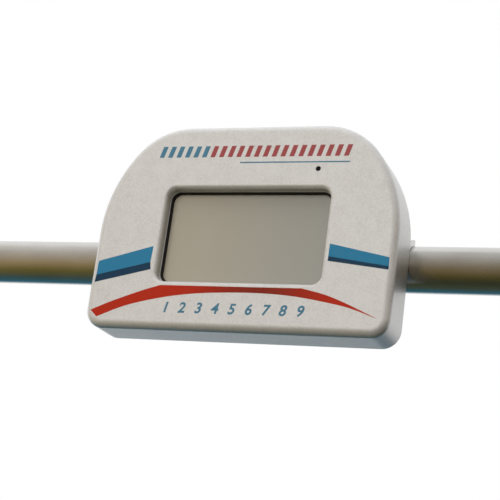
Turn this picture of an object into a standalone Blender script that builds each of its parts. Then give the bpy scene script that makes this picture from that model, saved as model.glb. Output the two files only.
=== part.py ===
"""Control computer of a ski training machine, clamped on a straight length of the machine's handrail.

Metres. +X is the user's right, +Y points away from the user, +Z is up. The origin is on the handrail's axis,
behind the middle of the console. Everything on the console turns about that axis.
"""

import math

import bmesh
import bpy

# Air left between two pieces that touch on the real object
TOUCH_GAP = 0.0003

# How far a cutting solid runs on past the surface that it cuts
CUT_OVERSHOOT = 0.0010

# Handrail: standard handrail tube, cut square
RAIL_DIAMETER = 0.0424
RAIL_WALL = 0.0026
RAIL_LENGTH = 0.600
RAIL_STEPS = 64

# Split nylon bushes that run on the rail, one in each clamp
LINER_WALL = 0.0019
LINER_FLANGE_RISE = 0.0017
LINER_FLANGE_THICKNESS = 0.0015
LINER_SLIT = 0.0030
LINER_STEPS = 40

# Clamps: a front half on the saddle and a loose rear cap, both bored for the bush
CLAMP_SPACING = 0.160
CLAMP_WIDTH = 0.036
CLAMP_HEIGHT = 0.082
CLAMP_SPLIT = 0.0008
CLAMP_BORE_STEPS = 40
CAP_LUG_THICKNESS = 0.0106
CAP_WALL = 0.0070
CLAMP_BOLT_SPACING = 0.069
CLAMP_BOLT_RADIUS = 0.0030
CLAMP_BOLT_HEAD_RADIUS = 0.0050
CLAMP_BOLT_HEAD_HEIGHT = 0.0060
CLAMP_BOLT_REACH = 0.018

# Saddle: a flat web on the rear cover, with a thin hood curling over the rail and a rib inside each of its ends
HOOD_THICKNESS = 0.0016
HOOD_TIP_ANGLE = math.radians(96)
HOOD_ROOT_ANGLE = math.radians(166)
HOOD_SIDE_INSET = 0.0013
HOOD_RIB_WIDTH = 0.0030
HOOD_RIB_TO_RAIL = 0.0005
RECESS_OVERSHOOT = math.radians(5)
HOOD_STEPS = 14
WEB_THICKNESS = 0.0025
WEB_SIDE_INSET = 0.0106
WEB_TO_FITTINGS = 0.0055
SADDLE_SCREW_END_INSET = 0.0110
SADDLE_SCREW_EDGE_INSET = 0.0080
SADDLE_SCREW_RADIUS = 0.0020
SADDLE_SCREW_HEAD_RADIUS = 0.0038
SADDLE_SCREW_HEAD_HEIGHT = 0.0024
SADDLE_SCREW_REACH = 0.0065
SADDLE_BOSS_RADIUS = 0.0045
SADDLE_BOSS_HEIGHT = 0.0045

# Front shell, drawn in front view round the window
CONSOLE_WIDTH = 0.2892
CONSOLE_DEPTH = 0.0431
WINDOW_TO_TOP = 0.0616
FITTINGS_TO_BOTTOM = 0.0227
RAIL_TO_SHELL = 0.0005
BOTTOM_CORNER_RADIUS = 0.0169
SHOULDER_SIDE_RADIUS = 0.1260
SHOULDER_SIDE_SWEEP = 0.676
SHOULDER_TOP_RADIUS = 0.0659
FRONT_EDGE_RADIUS = 0.0071
FACE_THICKNESS = 0.0032
SIDE_WALL = 0.0030
LEDGE_WIDTH = 0.0020
CORNER_STEPS = 5
SHOULDER_SIDE_STEPS = 6
SHOULDER_TOP_STEPS = 8
EDGE_STEPS = 5

# Window, sized so that its gasket frames the active area of a 7 inch panel
WINDOW_RISE = 0.0100
WINDOW_WIDTH = 0.1586
WINDOW_HEIGHT = 0.0894
WINDOW_CORNER_RADIUS = 0.0090
WINDOW_EDGE_RADIUS = 0.0034
WINDOW_RIM_WALL = 0.0023
WINDOW_RIM_DEPTH = 0.0104
WINDOW_CORNER_STEPS = 6

# Screen stack behind the window, front to back
GASKET_LIP = 0.0022
GASKET_THICKNESS = 0.0024
GASKET_OVERLAP = 0.0012
GASKET_CORNER_RADIUS = 0.0080
GLASS_MARGIN = 0.0030
GLASS_THICKNESS = 0.0018
GLASS_CORNER_RADIUS = 0.0030
PANEL_BORDER_SIDES = 0.0032
PANEL_BORDER_ENDS = 0.0053
PANEL_THICKNESS = 0.0057
PANEL_CORNER_RADIUS = 0.0015

# Steel strips that clamp the panel's sides, held by the studs of the pillars that carry the board
BRACKET_WIDTH = 0.0170
BRACKET_END_INSET = 0.0050
BRACKET_GRIP = 0.0045
BRACKET_THICKNESS = 0.0015
BRACKET_BOSS_RADIUS = 0.0040
PILLAR_OUT = 0.0050
PILLAR_RADIUS = 0.0032
PILLAR_BORE_RADIUS = 0.0019
PILLAR_STUD_LENGTH = 0.0080
SMALL_SCREW_RADIUS = 0.0014
SMALL_SCREW_HEAD_RADIUS = 0.0027
SMALL_SCREW_HEAD_HEIGHT = 0.0017
SMALL_SCREW_TIP_GAP = 0.0005
HOLE_CLEARANCE = 0.0003

# Main board, what is soldered on its front, and what sits on it
BOARD_END_INSET = 0.0100
BOARD_THICKNESS = 0.0016
PILLAR_TO_BOARD_SIDE = 0.0045
PILLAR_TO_BOARD_END = 0.0040
BOARD_TO_COVER = 0.0031
PROCESSOR_SIDE = 0.0140
PROCESSOR_THICKNESS = 0.0012
PROCESSOR_X = -0.020
CHIP_RISE = 0.016
SPREADER_SIDE = 0.0220
SPREADER_THICKNESS = 0.0024
MEMORY_WIDTH = 0.0080
MEMORY_HEIGHT = 0.0120
MEMORY_THICKNESS = 0.0011
MEMORY_X = (0.004, 0.018)
COIN_CELL_RADIUS = 0.0100
COIN_CELL_THICKNESS = 0.0032
COIN_CELL_X = 0.052
PLUG_WIDTH = 0.0100
PLUG_HEIGHT = 0.0065
PLUG_THICKNESS = 0.0050
PLUG_EDGE_INSET = 0.0010
PLUG_TO_PILLAR = 0.0010
INLET_PLUG_SHARE = -0.383
SENSOR_PLUG_SHARES = (0.128, 0.766)
RIBBON_WIDTH = 0.0240
RIBBON_THICKNESS = 0.0005
RIBBON_RISE = 0.0060
RIBBON_DROP = 0.0140
RIBBON_X = -0.052

# Light sensor behind its hole in the face
SENSOR_X = 0.0651
SENSOR_ABOVE_WINDOW = 0.0180
SENSOR_HOLE_RADIUS = 0.0024
SENSOR_LENS_SINK = 0.0004
SENSOR_FLANGE_RADIUS = 0.0038
SENSOR_FLANGE_THICKNESS = 0.0012
SENSOR_BOARD_WIDTH = 0.0180
SENSOR_BOARD_HEIGHT = 0.0100
SENSOR_BOARD_THICKNESS = 0.0012
SENSOR_BOARD_SHIFT = 0.0035
SENSOR_SCREW_OUT = 0.0075
SENSOR_BOSS_RADIUS = 0.0020
SENSOR_SCREW_RADIUS = 0.0008
SENSOR_SCREW_HEAD_RADIUS = 0.0016
SENSOR_SCREW_HEAD_HEIGHT = 0.0011

# Rear cover, its seal and its screws
COVER_THICKNESS = 0.0030
COVER_EDGE_GAP = 0.0003
SEAL_THICKNESS = 0.0007
SEAL_WIDTH = 0.0011
COVER_BOSS_RADIUS = 0.0046
COVER_BOSS_BITE = 0.0003
COVER_SCREW_RADIUS = 0.0014
COVER_SCREW_HEAD_RADIUS = 0.0028
COVER_SCREW_SINK = 0.0002
COVER_SCREW_LENGTH = 0.0120
COVER_SCREW_BOTTOM_SHARE = 0.7261
COVER_SCREW_SIDE_ANGLE = math.radians(22)
COVER_SCREW_TOP_ANGLE = math.radians(66)

# Fittings in the lower strip of the rear cover, spread as shares of its half width
PANEL_TO_FITTINGS = 0.0170
SPEAKER_SHARE = -0.5533
SPEAKER_RISE_ABOVE_FITTINGS = 0.0040
SPEAKER_RADIUS = 0.0180
SPEAKER_DEPTH = 0.0062
SPEAKER_SLOT_COUNT = 5
SPEAKER_SLOT_PITCH = 0.0050
SPEAKER_SLOT_WIDTH = 0.0022
SPEAKER_SLOT_LENGTH = 0.0220
INLET_SHARE = -0.2075
SENSOR_SOCKET_SHARES = (0.0692, 0.4149)
SOCKET_THREAD_RADIUS = 0.0078
SOCKET_FLANGE_RADIUS = 0.0095
SOCKET_FLANGE_THICKNESS = 0.0022
SOCKET_BARREL_RADIUS = 0.0064
SOCKET_BARREL_RISE = 0.0085
SOCKET_BORE_RADIUS = 0.0048
SOCKET_BORE_DEPTH = 0.0105
SOCKET_TAIL = 0.0140
INLET_THREAD_RADIUS = 0.0068
INLET_FLANGE_RADIUS = 0.0085
INLET_BARREL_RADIUS = 0.0058
INLET_BARREL_RISE = 0.0050
INLET_BORE_RADIUS = 0.0040
INLET_BORE_DEPTH = 0.0090
NUT_THICKNESS = 0.0030
NUT_WALL = 0.0028
BUTTON_SHARE = 0.6293
BUTTON_RADIUS = 0.0060
BUTTON_EDGE = 0.0006
BUTTON_RISE = 0.0035
BUTTON_TRAVEL = 0.0015
BUTTON_SIDE_GAP = 0.0003
BUTTON_CAP_DEPTH = 0.0065
BUTTON_STEM_RADIUS = 0.0020
BUTTON_STEM_LENGTH = 0.0030
BEZEL_WALL = 0.0018
BEZEL_FLANGE_RADIUS = 0.0098
BEZEL_FLANGE_THICKNESS = 0.0020
BEZEL_TAIL = 0.0092
SWITCH_SIDE = 0.0120
SWITCH_DEPTH = 0.0060

# Leads inside the console
LEAD_RADIUS = 0.0015
LEAD_STRAIGHT = 0.0020
LEAD_SWING = 0.0110
LEAD_POINTS = 12

# Round pieces
SCREW_STEPS = 12
FITTING_STEPS = 24
SHARP_ANGLE = math.radians(34)

# Worked out from the sizes above, from the rail outwards
RAIL_RADIUS = RAIL_DIAMETER / 2
LINER_BORE = RAIL_RADIUS + TOUCH_GAP
LINER_RADIUS = LINER_BORE + LINER_WALL
LINER_FLANGE_RADIUS = LINER_RADIUS + LINER_FLANGE_RISE
CLAMP_BORE = LINER_RADIUS + TOUCH_GAP
HOOD_BORE = LINER_FLANGE_RADIUS + TOUCH_GAP
HOOD_RADIUS = HOOD_BORE + HOOD_THICKNESS
HOOD_RIB_BORE = RAIL_RADIUS + HOOD_RIB_TO_RAIL
WEB_BACK_Y = -(LINER_FLANGE_RADIUS + TOUCH_GAP)
WEB_FRONT_Y = WEB_BACK_Y - WEB_THICKNESS
COVER_BACK_Y = WEB_FRONT_Y - TOUCH_GAP
COVER_FRONT_Y = COVER_BACK_Y - COVER_THICKNESS
LEDGE_Y = COVER_FRONT_Y - SEAL_THICKNESS - 2 * TOUCH_GAP
SHELL_BACK_Y = -(RAIL_RADIUS + RAIL_TO_SHELL)

# The same from the face backwards
FACE_Y = SHELL_BACK_Y - CONSOLE_DEPTH
INNER_FACE_Y = FACE_Y + FACE_THICKNESS
RIM_BACK_Y = FACE_Y + WINDOW_RIM_DEPTH
GASKET_Y = RIM_BACK_Y + TOUCH_GAP
GLASS_Y = GASKET_Y + GASKET_THICKNESS + TOUCH_GAP
PANEL_Y = GLASS_Y + GLASS_THICKNESS + TOUCH_GAP
BRACKET_Y = PANEL_Y + PANEL_THICKNESS + TOUCH_GAP
PILLAR_Y = BRACKET_Y + BRACKET_THICKNESS + TOUCH_GAP
BOARD_BACK_Y = COVER_FRONT_Y - BOARD_TO_COVER
BOARD_FRONT_Y = BOARD_BACK_Y - BOARD_THICKNESS
COVER_BOSS_TOP_Y = COVER_FRONT_Y - TOUCH_GAP

HALF_WIDTH = CONSOLE_WIDTH / 2
HALF_PI = math.pi / 2

# The same upwards and sideways from the window
PANEL_WIDTH = WINDOW_WIDTH + 2 * PANEL_BORDER_SIDES
PANEL_HEIGHT = WINDOW_HEIGHT + 2 * PANEL_BORDER_ENDS
PANEL_BOTTOM_Z = WINDOW_RISE - PANEL_HEIGHT / 2
FITTINGS_Z = PANEL_BOTTOM_Z - PANEL_TO_FITTINGS
SPEAKER_Z = FITTINGS_Z + SPEAKER_RISE_ABOVE_FITTINGS
CONSOLE_BOTTOM_Z = FITTINGS_Z - FITTINGS_TO_BOTTOM
CONSOLE_TOP_Z = WINDOW_RISE + WINDOW_HEIGHT / 2 + WINDOW_TO_TOP
SENSOR_Z = WINDOW_RISE + WINDOW_HEIGHT / 2 + SENSOR_ABOVE_WINDOW
BRACKET_HEIGHT = PANEL_HEIGHT - 2 * BRACKET_END_INSET
BOARD_HEIGHT = PANEL_HEIGHT - 2 * BOARD_END_INSET
BOARD_BOTTOM_Z = WINDOW_RISE - BOARD_HEIGHT / 2
PILLAR_SPACING = BOARD_HEIGHT - 2 * PILLAR_TO_BOARD_END
WEB_LENGTH = CONSOLE_WIDTH - 2 * WEB_SIDE_INSET
WEB_HEIGHT = 2 * (-FITTINGS_Z - SOCKET_FLANGE_RADIUS - WEB_TO_FITTINGS)
SADDLE_SCREW_SPACING_X = WEB_LENGTH - 2 * SADDLE_SCREW_END_INSET
SADDLE_SCREW_SPACING_Z = WEB_HEIGHT - 2 * SADDLE_SCREW_EDGE_INSET
SPEAKER_X = SPEAKER_SHARE * HALF_WIDTH
INLET_X = INLET_SHARE * HALF_WIDTH
SENSOR_SOCKET_X = [share * HALF_WIDTH for share in SENSOR_SOCKET_SHARES]
BUTTON_X = BUTTON_SHARE * HALF_WIDTH

INNER_WALL_INSET = SIDE_WALL + LEDGE_WIDTH
COVER_BOSS_INSET = INNER_WALL_INSET + COVER_BOSS_RADIUS - COVER_BOSS_BITE
BRACKET_INNER_X = PANEL_WIDTH / 2 - BRACKET_GRIP
PILLAR_X = PANEL_WIDTH / 2 + PILLAR_OUT
BOARD_WIDTH = 2 * (PILLAR_X + PILLAR_TO_BOARD_SIDE)
SENSOR_BOARD_Y = INNER_FACE_Y + SENSOR_FLANGE_THICKNESS + 2 * TOUCH_GAP
OUTER_PLUG_X = PILLAR_X - PILLAR_RADIUS - PLUG_WIDTH / 2 - PLUG_TO_PILLAR
INLET_PLUG_X = INLET_PLUG_SHARE * OUTER_PLUG_X
SENSOR_PLUG_X = [share * OUTER_PLUG_X for share in SENSOR_PLUG_SHARES]


def clear_scene():
    for obj in list(bpy.data.objects):
        bpy.data.objects.remove(obj)


def finish_of(name, colour, roughness, metallic=0.0, alpha=1.0):
    material = bpy.data.materials.new(name)
    material.use_nodes = True
    shader = material.node_tree.nodes["Principled BSDF"]
    shader.inputs["Base Color"].default_value = (*colour, 1.0)
    shader.inputs["Roughness"].default_value = roughness
    shader.inputs["Metallic"].default_value = metallic
    shader.inputs["Alpha"].default_value = alpha
    return material


def empty(name, parent=None, place=(0, 0, 0)):
    """An empty on a joint's axis, which carries the pieces that move together."""
    holder = bpy.data.objects.new(name, None)
    holder.location = place
    holder.parent = parent
    bpy.context.scene.collection.objects.link(holder)
    return holder


def piece(name, bm, material, parent, place=(0, 0, 0)):
    """Make a named object from a bmesh, with its faces pointing out and its round parts shaded smooth."""
    bmesh.ops.recalc_face_normals(bm, faces=bm.faces)
    mesh = bpy.data.meshes.new(name)
    bm.to_mesh(mesh)
    bm.free()
    mesh.shade_smooth()
    mesh.set_sharp_from_angle(angle=SHARP_ANGLE)
    mesh.materials.append(material)
    obj = bpy.data.objects.new(name, mesh)
    obj.location = place
    obj.parent = parent
    bpy.context.scene.collection.objects.link(obj)
    return obj


def copies(name, bm, material, parent, places):
    """Make one numbered object for each place, all sharing one mesh."""
    first = piece(f"{name}_1", bm, material, parent, places[0])
    for number, place in enumerate(places[1:], start=2):
        copy = bpy.data.objects.new(f"{name}_{number}", first.data)
        copy.location = place
        copy.parent = parent
        bpy.context.scene.collection.objects.link(copy)


def helper(name, bm, parent, place=(0, 0, 0)):
    """A solid that only cuts another or is joined to it."""
    obj = piece(name, bm, guide_finish, parent, place)
    obj.hide_render = True
    obj.display_type = "WIRE"
    return obj


def boolean(obj, other, operation):
    modifier = obj.modifiers.new(f"{operation.lower()} {other.name}", "BOOLEAN")
    modifier.operation = operation
    modifier.solver = "EXACT"
    modifier.object = other


def loft(bm, rings, endless=False):
    """Skin a stack of loops with equal point counts, and cap both ends unless it runs back to its start."""
    loops = [[bm.verts.new(point) for point in ring] for ring in rings]
    pairs = list(zip(loops, loops[1:]))
    if endless:
        pairs.append((loops[-1], loops[0]))
    for near, far in pairs:
        for i, corner in enumerate(near):
            j = (i + 1) % len(near)
            bm.faces.new((corner, near[j], far[j], far[i]))
    if not endless:
        bm.faces.new(loops[0])
        bm.faces.new(list(reversed(loops[-1])))


def turned(bm, profile, steps, place=(0, 0, 0)):
    """Turn a closed profile of (radius, y) points about the line through place along Y."""
    px, py, pz = place
    angles = [2 * math.pi * i / steps for i in range(steps)]
    rings = []
    for radius, y in profile:
        if radius == 0:
            rings.append([bm.verts.new((px, py + y, pz))])
            continue
        rings.append(
            [bm.verts.new((px + radius * math.cos(a), py + y, pz + radius * math.sin(a))) for a in angles]
        )
    if profile[0][0] > 0:
        rings.append(rings[0])
    for near, far in zip(rings, rings[1:]):
        for i in range(steps):
            j = (i + 1) % steps
            corners = (near[i % len(near)], near[j % len(near)], far[j % len(far)], far[i % len(far)])
            bm.faces.new(list(dict.fromkeys(corners)))


def around_x(bm, profile, start, end, steps):
    """Turn a closed profile of (x, radius) points about the X axis, from one angle to another."""
    full_turn = end - start > 2 * math.pi - 1e-6
    count = steps if full_turn else steps + 1
    rings = []
    for i in range(count):
        angle = start + (end - start) * i / steps
        rings.append([(x, r * math.cos(angle), r * math.sin(angle)) for x, r in profile])
    loft(bm, rings, endless=full_turn)


def along_x(bm, outline, x_low, x_high):
    """Extrude a (y, z) outline along X."""
    loft(bm, [[(x, y, z) for y, z in outline] for x in (x_low, x_high)])


def along_y(bm, outline, y_low, y_high):
    """Extrude an (x, z) outline along Y."""
    loft(bm, [[(x, y, z) for x, z in outline] for y in (y_low, y_high)])


def block(bm, x_span, y_span, z_span):
    (x0, x1), (y0, y1), (z0, z1) = x_span, y_span, z_span
    along_y(bm, [(x0, z0), (x1, z0), (x1, z1), (x0, z1)], y0, y1)


def disc(bm, radius, y_low, y_high, steps, place):
    turned(bm, [(0, y_low), (radius, y_low), (radius, y_high), (0, y_high)], steps, place)


def tube(bm, inner, outer, y_low, y_high, steps, place=(0, 0, 0)):
    turned(bm, [(inner, y_low), (outer, y_low), (outer, y_high), (inner, y_high)], steps, place)


def arc(centre, radius, start, end, steps):
    """Points (across, up) on an arc, both ends included."""
    angles = [start + (end - start) * i / steps for i in range(steps + 1)]
    return [(centre[0] + radius * math.cos(a), centre[1] + radius * math.sin(a)) for a in angles]


def rounded_rectangle(half_width, half_height, radius, steps, middle=(0, 0)):
    """An (x, z) outline, anticlockwise from the lower right corner."""
    points = []
    for quarter, (side, up) in enumerate(((1, -1), (1, 1), (-1, 1), (-1, -1))):
        centre = (middle[0] + side * (half_width - radius), middle[1] + up * (half_height - radius))
        start = (quarter - 1) * HALF_PI
        points += arc(centre, radius, start, start + HALF_PI, steps)
    return points


def shoulder_centres():
    """Centres of the right shoulder's two arcs: the long one up the side, and the tighter one at the top."""
    top_z = CONSOLE_TOP_Z - SHOULDER_TOP_RADIUS
    step = SHOULDER_SIDE_RADIUS - SHOULDER_TOP_RADIUS
    side = (HALF_WIDTH - SHOULDER_SIDE_RADIUS, top_z - step * math.sin(SHOULDER_SIDE_SWEEP))
    top = (side[0] + step * math.cos(SHOULDER_SIDE_SWEEP), top_z)
    return side, top


def console_outline(inset):
    """The console's (x, z) outline in front view, moved in by inset, anticlockwise from the lower right."""
    side, top = shoulder_centres()
    corner = (HALF_WIDTH - BOTTOM_CORNER_RADIUS, CONSOLE_BOTTOM_Z + BOTTOM_CORNER_RADIUS)
    sweep = SHOULDER_SIDE_SWEEP
    right = arc(corner, BOTTOM_CORNER_RADIUS - inset, -HALF_PI, 0, CORNER_STEPS)
    right += arc(side, SHOULDER_SIDE_RADIUS - inset, 0, sweep, SHOULDER_SIDE_STEPS)
    right += arc(top, SHOULDER_TOP_RADIUS - inset, sweep, HALF_PI, SHOULDER_TOP_STEPS)[1:]
    left = [(-x, z) for x, z in reversed(right)]
    return right + left


def outline_ring(inset, y):
    return [(x, y, z) for x, z in console_outline(inset)]


def window_ring(grow, y, radius=WINDOW_CORNER_RADIUS):
    """The window's rounded rectangle, moved out by grow, at the depth y."""
    half_width = WINDOW_WIDTH / 2 + grow
    half_height = WINDOW_HEIGHT / 2 + grow
    corner_radius = radius + max(grow, 0)
    points = rounded_rectangle(half_width, half_height, corner_radius, WINDOW_CORNER_STEPS, (0, WINDOW_RISE))
    return [(x, y, z) for x, z in points]


def cover_screw_places():
    """(x, z) of the screws round the rear cover, each at the same distance inside the outline."""
    side_centre, top_centre = shoulder_centres()
    bottom_z = CONSOLE_BOTTOM_Z + COVER_BOSS_INSET
    places = [(side * COVER_SCREW_BOTTOM_SHARE * HALF_WIDTH, bottom_z) for side in (-1, 1)]
    for centre, radius, angle in (
        (side_centre, SHOULDER_SIDE_RADIUS, COVER_SCREW_SIDE_ANGLE),
        (top_centre, SHOULDER_TOP_RADIUS, COVER_SCREW_TOP_ANGLE),
    ):
        x = centre[0] + (radius - COVER_BOSS_INSET) * math.cos(angle)
        z = centre[1] + (radius - COVER_BOSS_INSET) * math.sin(angle)
        places += [(x, z), (-x, z)]
    return places


def corners(spacing_x, spacing_z, middle_z=0.0):
    return [(sx * spacing_x / 2, middle_z + sz * spacing_z / 2) for sx in (-1, 1) for sz in (-1, 1)]


def pan_screws(name, places, seat_y, shank, length, head, head_height, steps=SCREW_STEPS):
    """Screws at (x, z) places whose heads face +Y and sit on seat_y, each with a round driver recess."""
    recess = head * 0.5
    profile = [(0, -length), (shank, -length), (shank, 0), (head, 0), (head, head_height)]
    profile += [(recess, head_height), (recess, head_height * 0.5), (0, head_height * 0.5)]
    bm = bmesh.new()
    turned(bm, profile, steps)
    copies(name, bm, screw_finish, console, [(x, seat_y, z) for x, z in places])


def build_rail():
    bm = bmesh.new()
    half = RAIL_LENGTH / 2
    bore = RAIL_RADIUS - RAIL_WALL
    profile = [(-half, bore), (half, bore), (half, RAIL_RADIUS), (-half, RAIL_RADIUS)]
    around_x(bm, profile, 0, 2 * math.pi, RAIL_STEPS)
    piece("handrail_tube", bm, rail_finish, None)


def build_liner(name, x):
    """A flanged bush with a slit at its back, so that it snaps over the rail and closes under the cap."""
    bm = bmesh.new()
    half = CLAMP_WIDTH / 2 + TOUCH_GAP
    rim = half + LINER_FLANGE_THICKNESS
    flange = LINER_FLANGE_RADIUS
    profile = [(-rim, LINER_BORE), (rim, LINER_BORE), (rim, flange), (half, flange)]
    profile += [(half, LINER_RADIUS), (-half, LINER_RADIUS), (-half, flange), (-rim, flange)]
    half_slit = LINER_SLIT / 2 / LINER_RADIUS
    around_x(bm, profile, half_slit, 2 * math.pi - half_slit, LINER_STEPS)
    piece(name, bm, nylon_finish, carriage, (x, 0, 0))


def build_saddle():
    """Web, hood and the front halves of both clamps, cut from one piece of aluminium."""
    bm = bmesh.new()
    half_web = WEB_LENGTH / 2
    half_height = WEB_HEIGHT / 2
    block(bm, (-half_web, half_web), (WEB_FRONT_Y, WEB_BACK_Y), (-half_height, half_height))
    saddle = piece("saddle", bm, saddle_finish, console)

    bm = bmesh.new()
    outer = arc((0, 0), HOOD_RADIUS, HOOD_TIP_ANGLE, HOOD_ROOT_ANGLE, HOOD_STEPS)
    inner = arc((0, 0), HOOD_RIB_BORE, HOOD_ROOT_ANGLE, HOOD_TIP_ANGLE, HOOD_STEPS)
    half_hood = HALF_WIDTH - HOOD_SIDE_INSET
    along_x(bm, outer + inner, -half_hood, half_hood)
    hood = helper("hood", bm, console)
    bm = bmesh.new()
    first = HOOD_TIP_ANGLE - RECESS_OVERSHOOT
    last = HOOD_ROOT_ANGLE + RECESS_OVERSHOOT
    outer = arc((0, 0), HOOD_BORE, first, last, HOOD_STEPS)
    inner = arc((0, 0), HOOD_RIB_BORE - CUT_OVERSHOOT, last, first, HOOD_STEPS)
    along_x(bm, outer + inner, HOOD_RIB_WIDTH - half_hood, half_hood - HOOD_RIB_WIDTH)
    boolean(hood, helper("hood_recess", bm, console), "DIFFERENCE")
    boolean(saddle, hood, "UNION")

    bm = bmesh.new()
    block_front = WEB_BACK_Y - WEB_THICKNESS / 2
    for x in (-CLAMP_SPACING / 2, CLAMP_SPACING / 2):
        x_span = (x - CLAMP_WIDTH / 2, x + CLAMP_WIDTH / 2)
        block(bm, x_span, (block_front, -CLAMP_SPLIT / 2), (-CLAMP_HEIGHT / 2, CLAMP_HEIGHT / 2))
    boolean(saddle, helper("clamp_front_halves", bm, console), "UNION")

    bm = bmesh.new()
    reach = CLAMP_WIDTH / 2 + TOUCH_GAP
    for x in (-CLAMP_SPACING / 2, CLAMP_SPACING / 2):
        circle = arc((0, 0), CLAMP_BORE, 0, 2 * math.pi, CLAMP_BORE_STEPS)[:-1]
        along_x(bm, circle, x - reach, x + reach)
    boolean(saddle, helper("clamp_bores", bm, console), "DIFFERENCE")

    bm = bmesh.new()
    bolt_hole = CLAMP_BOLT_RADIUS + HOLE_CLEARANCE
    for x, z in corners(CLAMP_SPACING, CLAMP_BOLT_SPACING):
        disc(bm, bolt_hole, -CLAMP_BOLT_REACH - TOUCH_GAP, CLAMP_SPLIT, SCREW_STEPS, (x, 0, z))
    screw_hole = SADDLE_SCREW_RADIUS + HOLE_CLEARANCE
    for x, z in corners(SADDLE_SCREW_SPACING_X, SADDLE_SCREW_SPACING_Z):
        disc(bm, screw_hole, WEB_FRONT_Y - CUT_OVERSHOOT, WEB_BACK_Y + CUT_OVERSHOOT, SCREW_STEPS, (x, 0, z))
    boolean(saddle, helper("saddle_holes", bm, console), "DIFFERENCE")

    # The hood passes behind the side walls' rear edges, so its front part stops inside them
    bm = bmesh.new()
    wall_inner = HALF_WIDTH - SIDE_WALL - 2 * TOUCH_GAP
    y_span = (-HOOD_RADIUS - CUT_OVERSHOOT, SHELL_BACK_Y + TOUCH_GAP)
    z_span = (-CUT_OVERSHOOT, HOOD_RADIUS + CUT_OVERSHOOT)
    for side in (-1, 1):
        x_span = sorted((side * wall_inner, side * (HALF_WIDTH + CUT_OVERSHOOT)))
        block(bm, x_span, y_span, z_span)
    boolean(saddle, helper("hood_end_notches", bm, console), "DIFFERENCE")


def build_clamp_cap(name, x):
    bm = bmesh.new()
    front = CLAMP_SPLIT / 2
    lug_back = front + CAP_LUG_THICKNESS
    half_height = CLAMP_HEIGHT / 2
    back_radius = CLAMP_BORE + CAP_WALL
    shoulder = math.asin(lug_back / back_radius)
    mouth = math.asin(front / CLAMP_BORE)
    outline = [(front, -half_height), (lug_back, -half_height)]
    outline += arc((0, 0), back_radius, shoulder - HALF_PI, HALF_PI - shoulder, CLAMP_BORE_STEPS // 2)
    outline += [(lug_back, half_height), (front, half_height)]
    outline += arc((0, 0), CLAMP_BORE, HALF_PI - mouth, mouth - HALF_PI, CLAMP_BORE_STEPS // 2)
    along_x(bm, outline, -CLAMP_WIDTH / 2, CLAMP_WIDTH / 2)
    cap = piece(name, bm, saddle_finish, console, (x, 0, 0))

    bm = bmesh.new()
    for z in (-CLAMP_BOLT_SPACING / 2, CLAMP_BOLT_SPACING / 2):
        disc(bm, CLAMP_BOLT_RADIUS + HOLE_CLEARANCE, 0, lug_back + CUT_OVERSHOOT, SCREW_STEPS, (0, 0, z))
    boolean(cap, helper(f"{name}_holes", bm, console, (x, 0, 0)), "DIFFERENCE")


def build_clamp_bolts():
    seat = CLAMP_SPLIT / 2 + CAP_LUG_THICKNESS + TOUCH_GAP
    places = corners(CLAMP_SPACING, CLAMP_BOLT_SPACING)
    length = seat + CLAMP_BOLT_REACH
    head = (CLAMP_BOLT_HEAD_RADIUS, CLAMP_BOLT_HEAD_HEIGHT)
    pan_screws("clamp_bolt", places, seat, CLAMP_BOLT_RADIUS, length, *head, steps=16)


def build_saddle_screws():
    places = corners(SADDLE_SCREW_SPACING_X, SADDLE_SCREW_SPACING_Z)
    length = WEB_THICKNESS + SADDLE_SCREW_REACH
    head = (SADDLE_SCREW_HEAD_RADIUS, SADDLE_SCREW_HEAD_HEIGHT)
    pan_screws("saddle_screw", places, WEB_BACK_Y + TOUCH_GAP, SADDLE_SCREW_RADIUS, length, *head)


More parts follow.
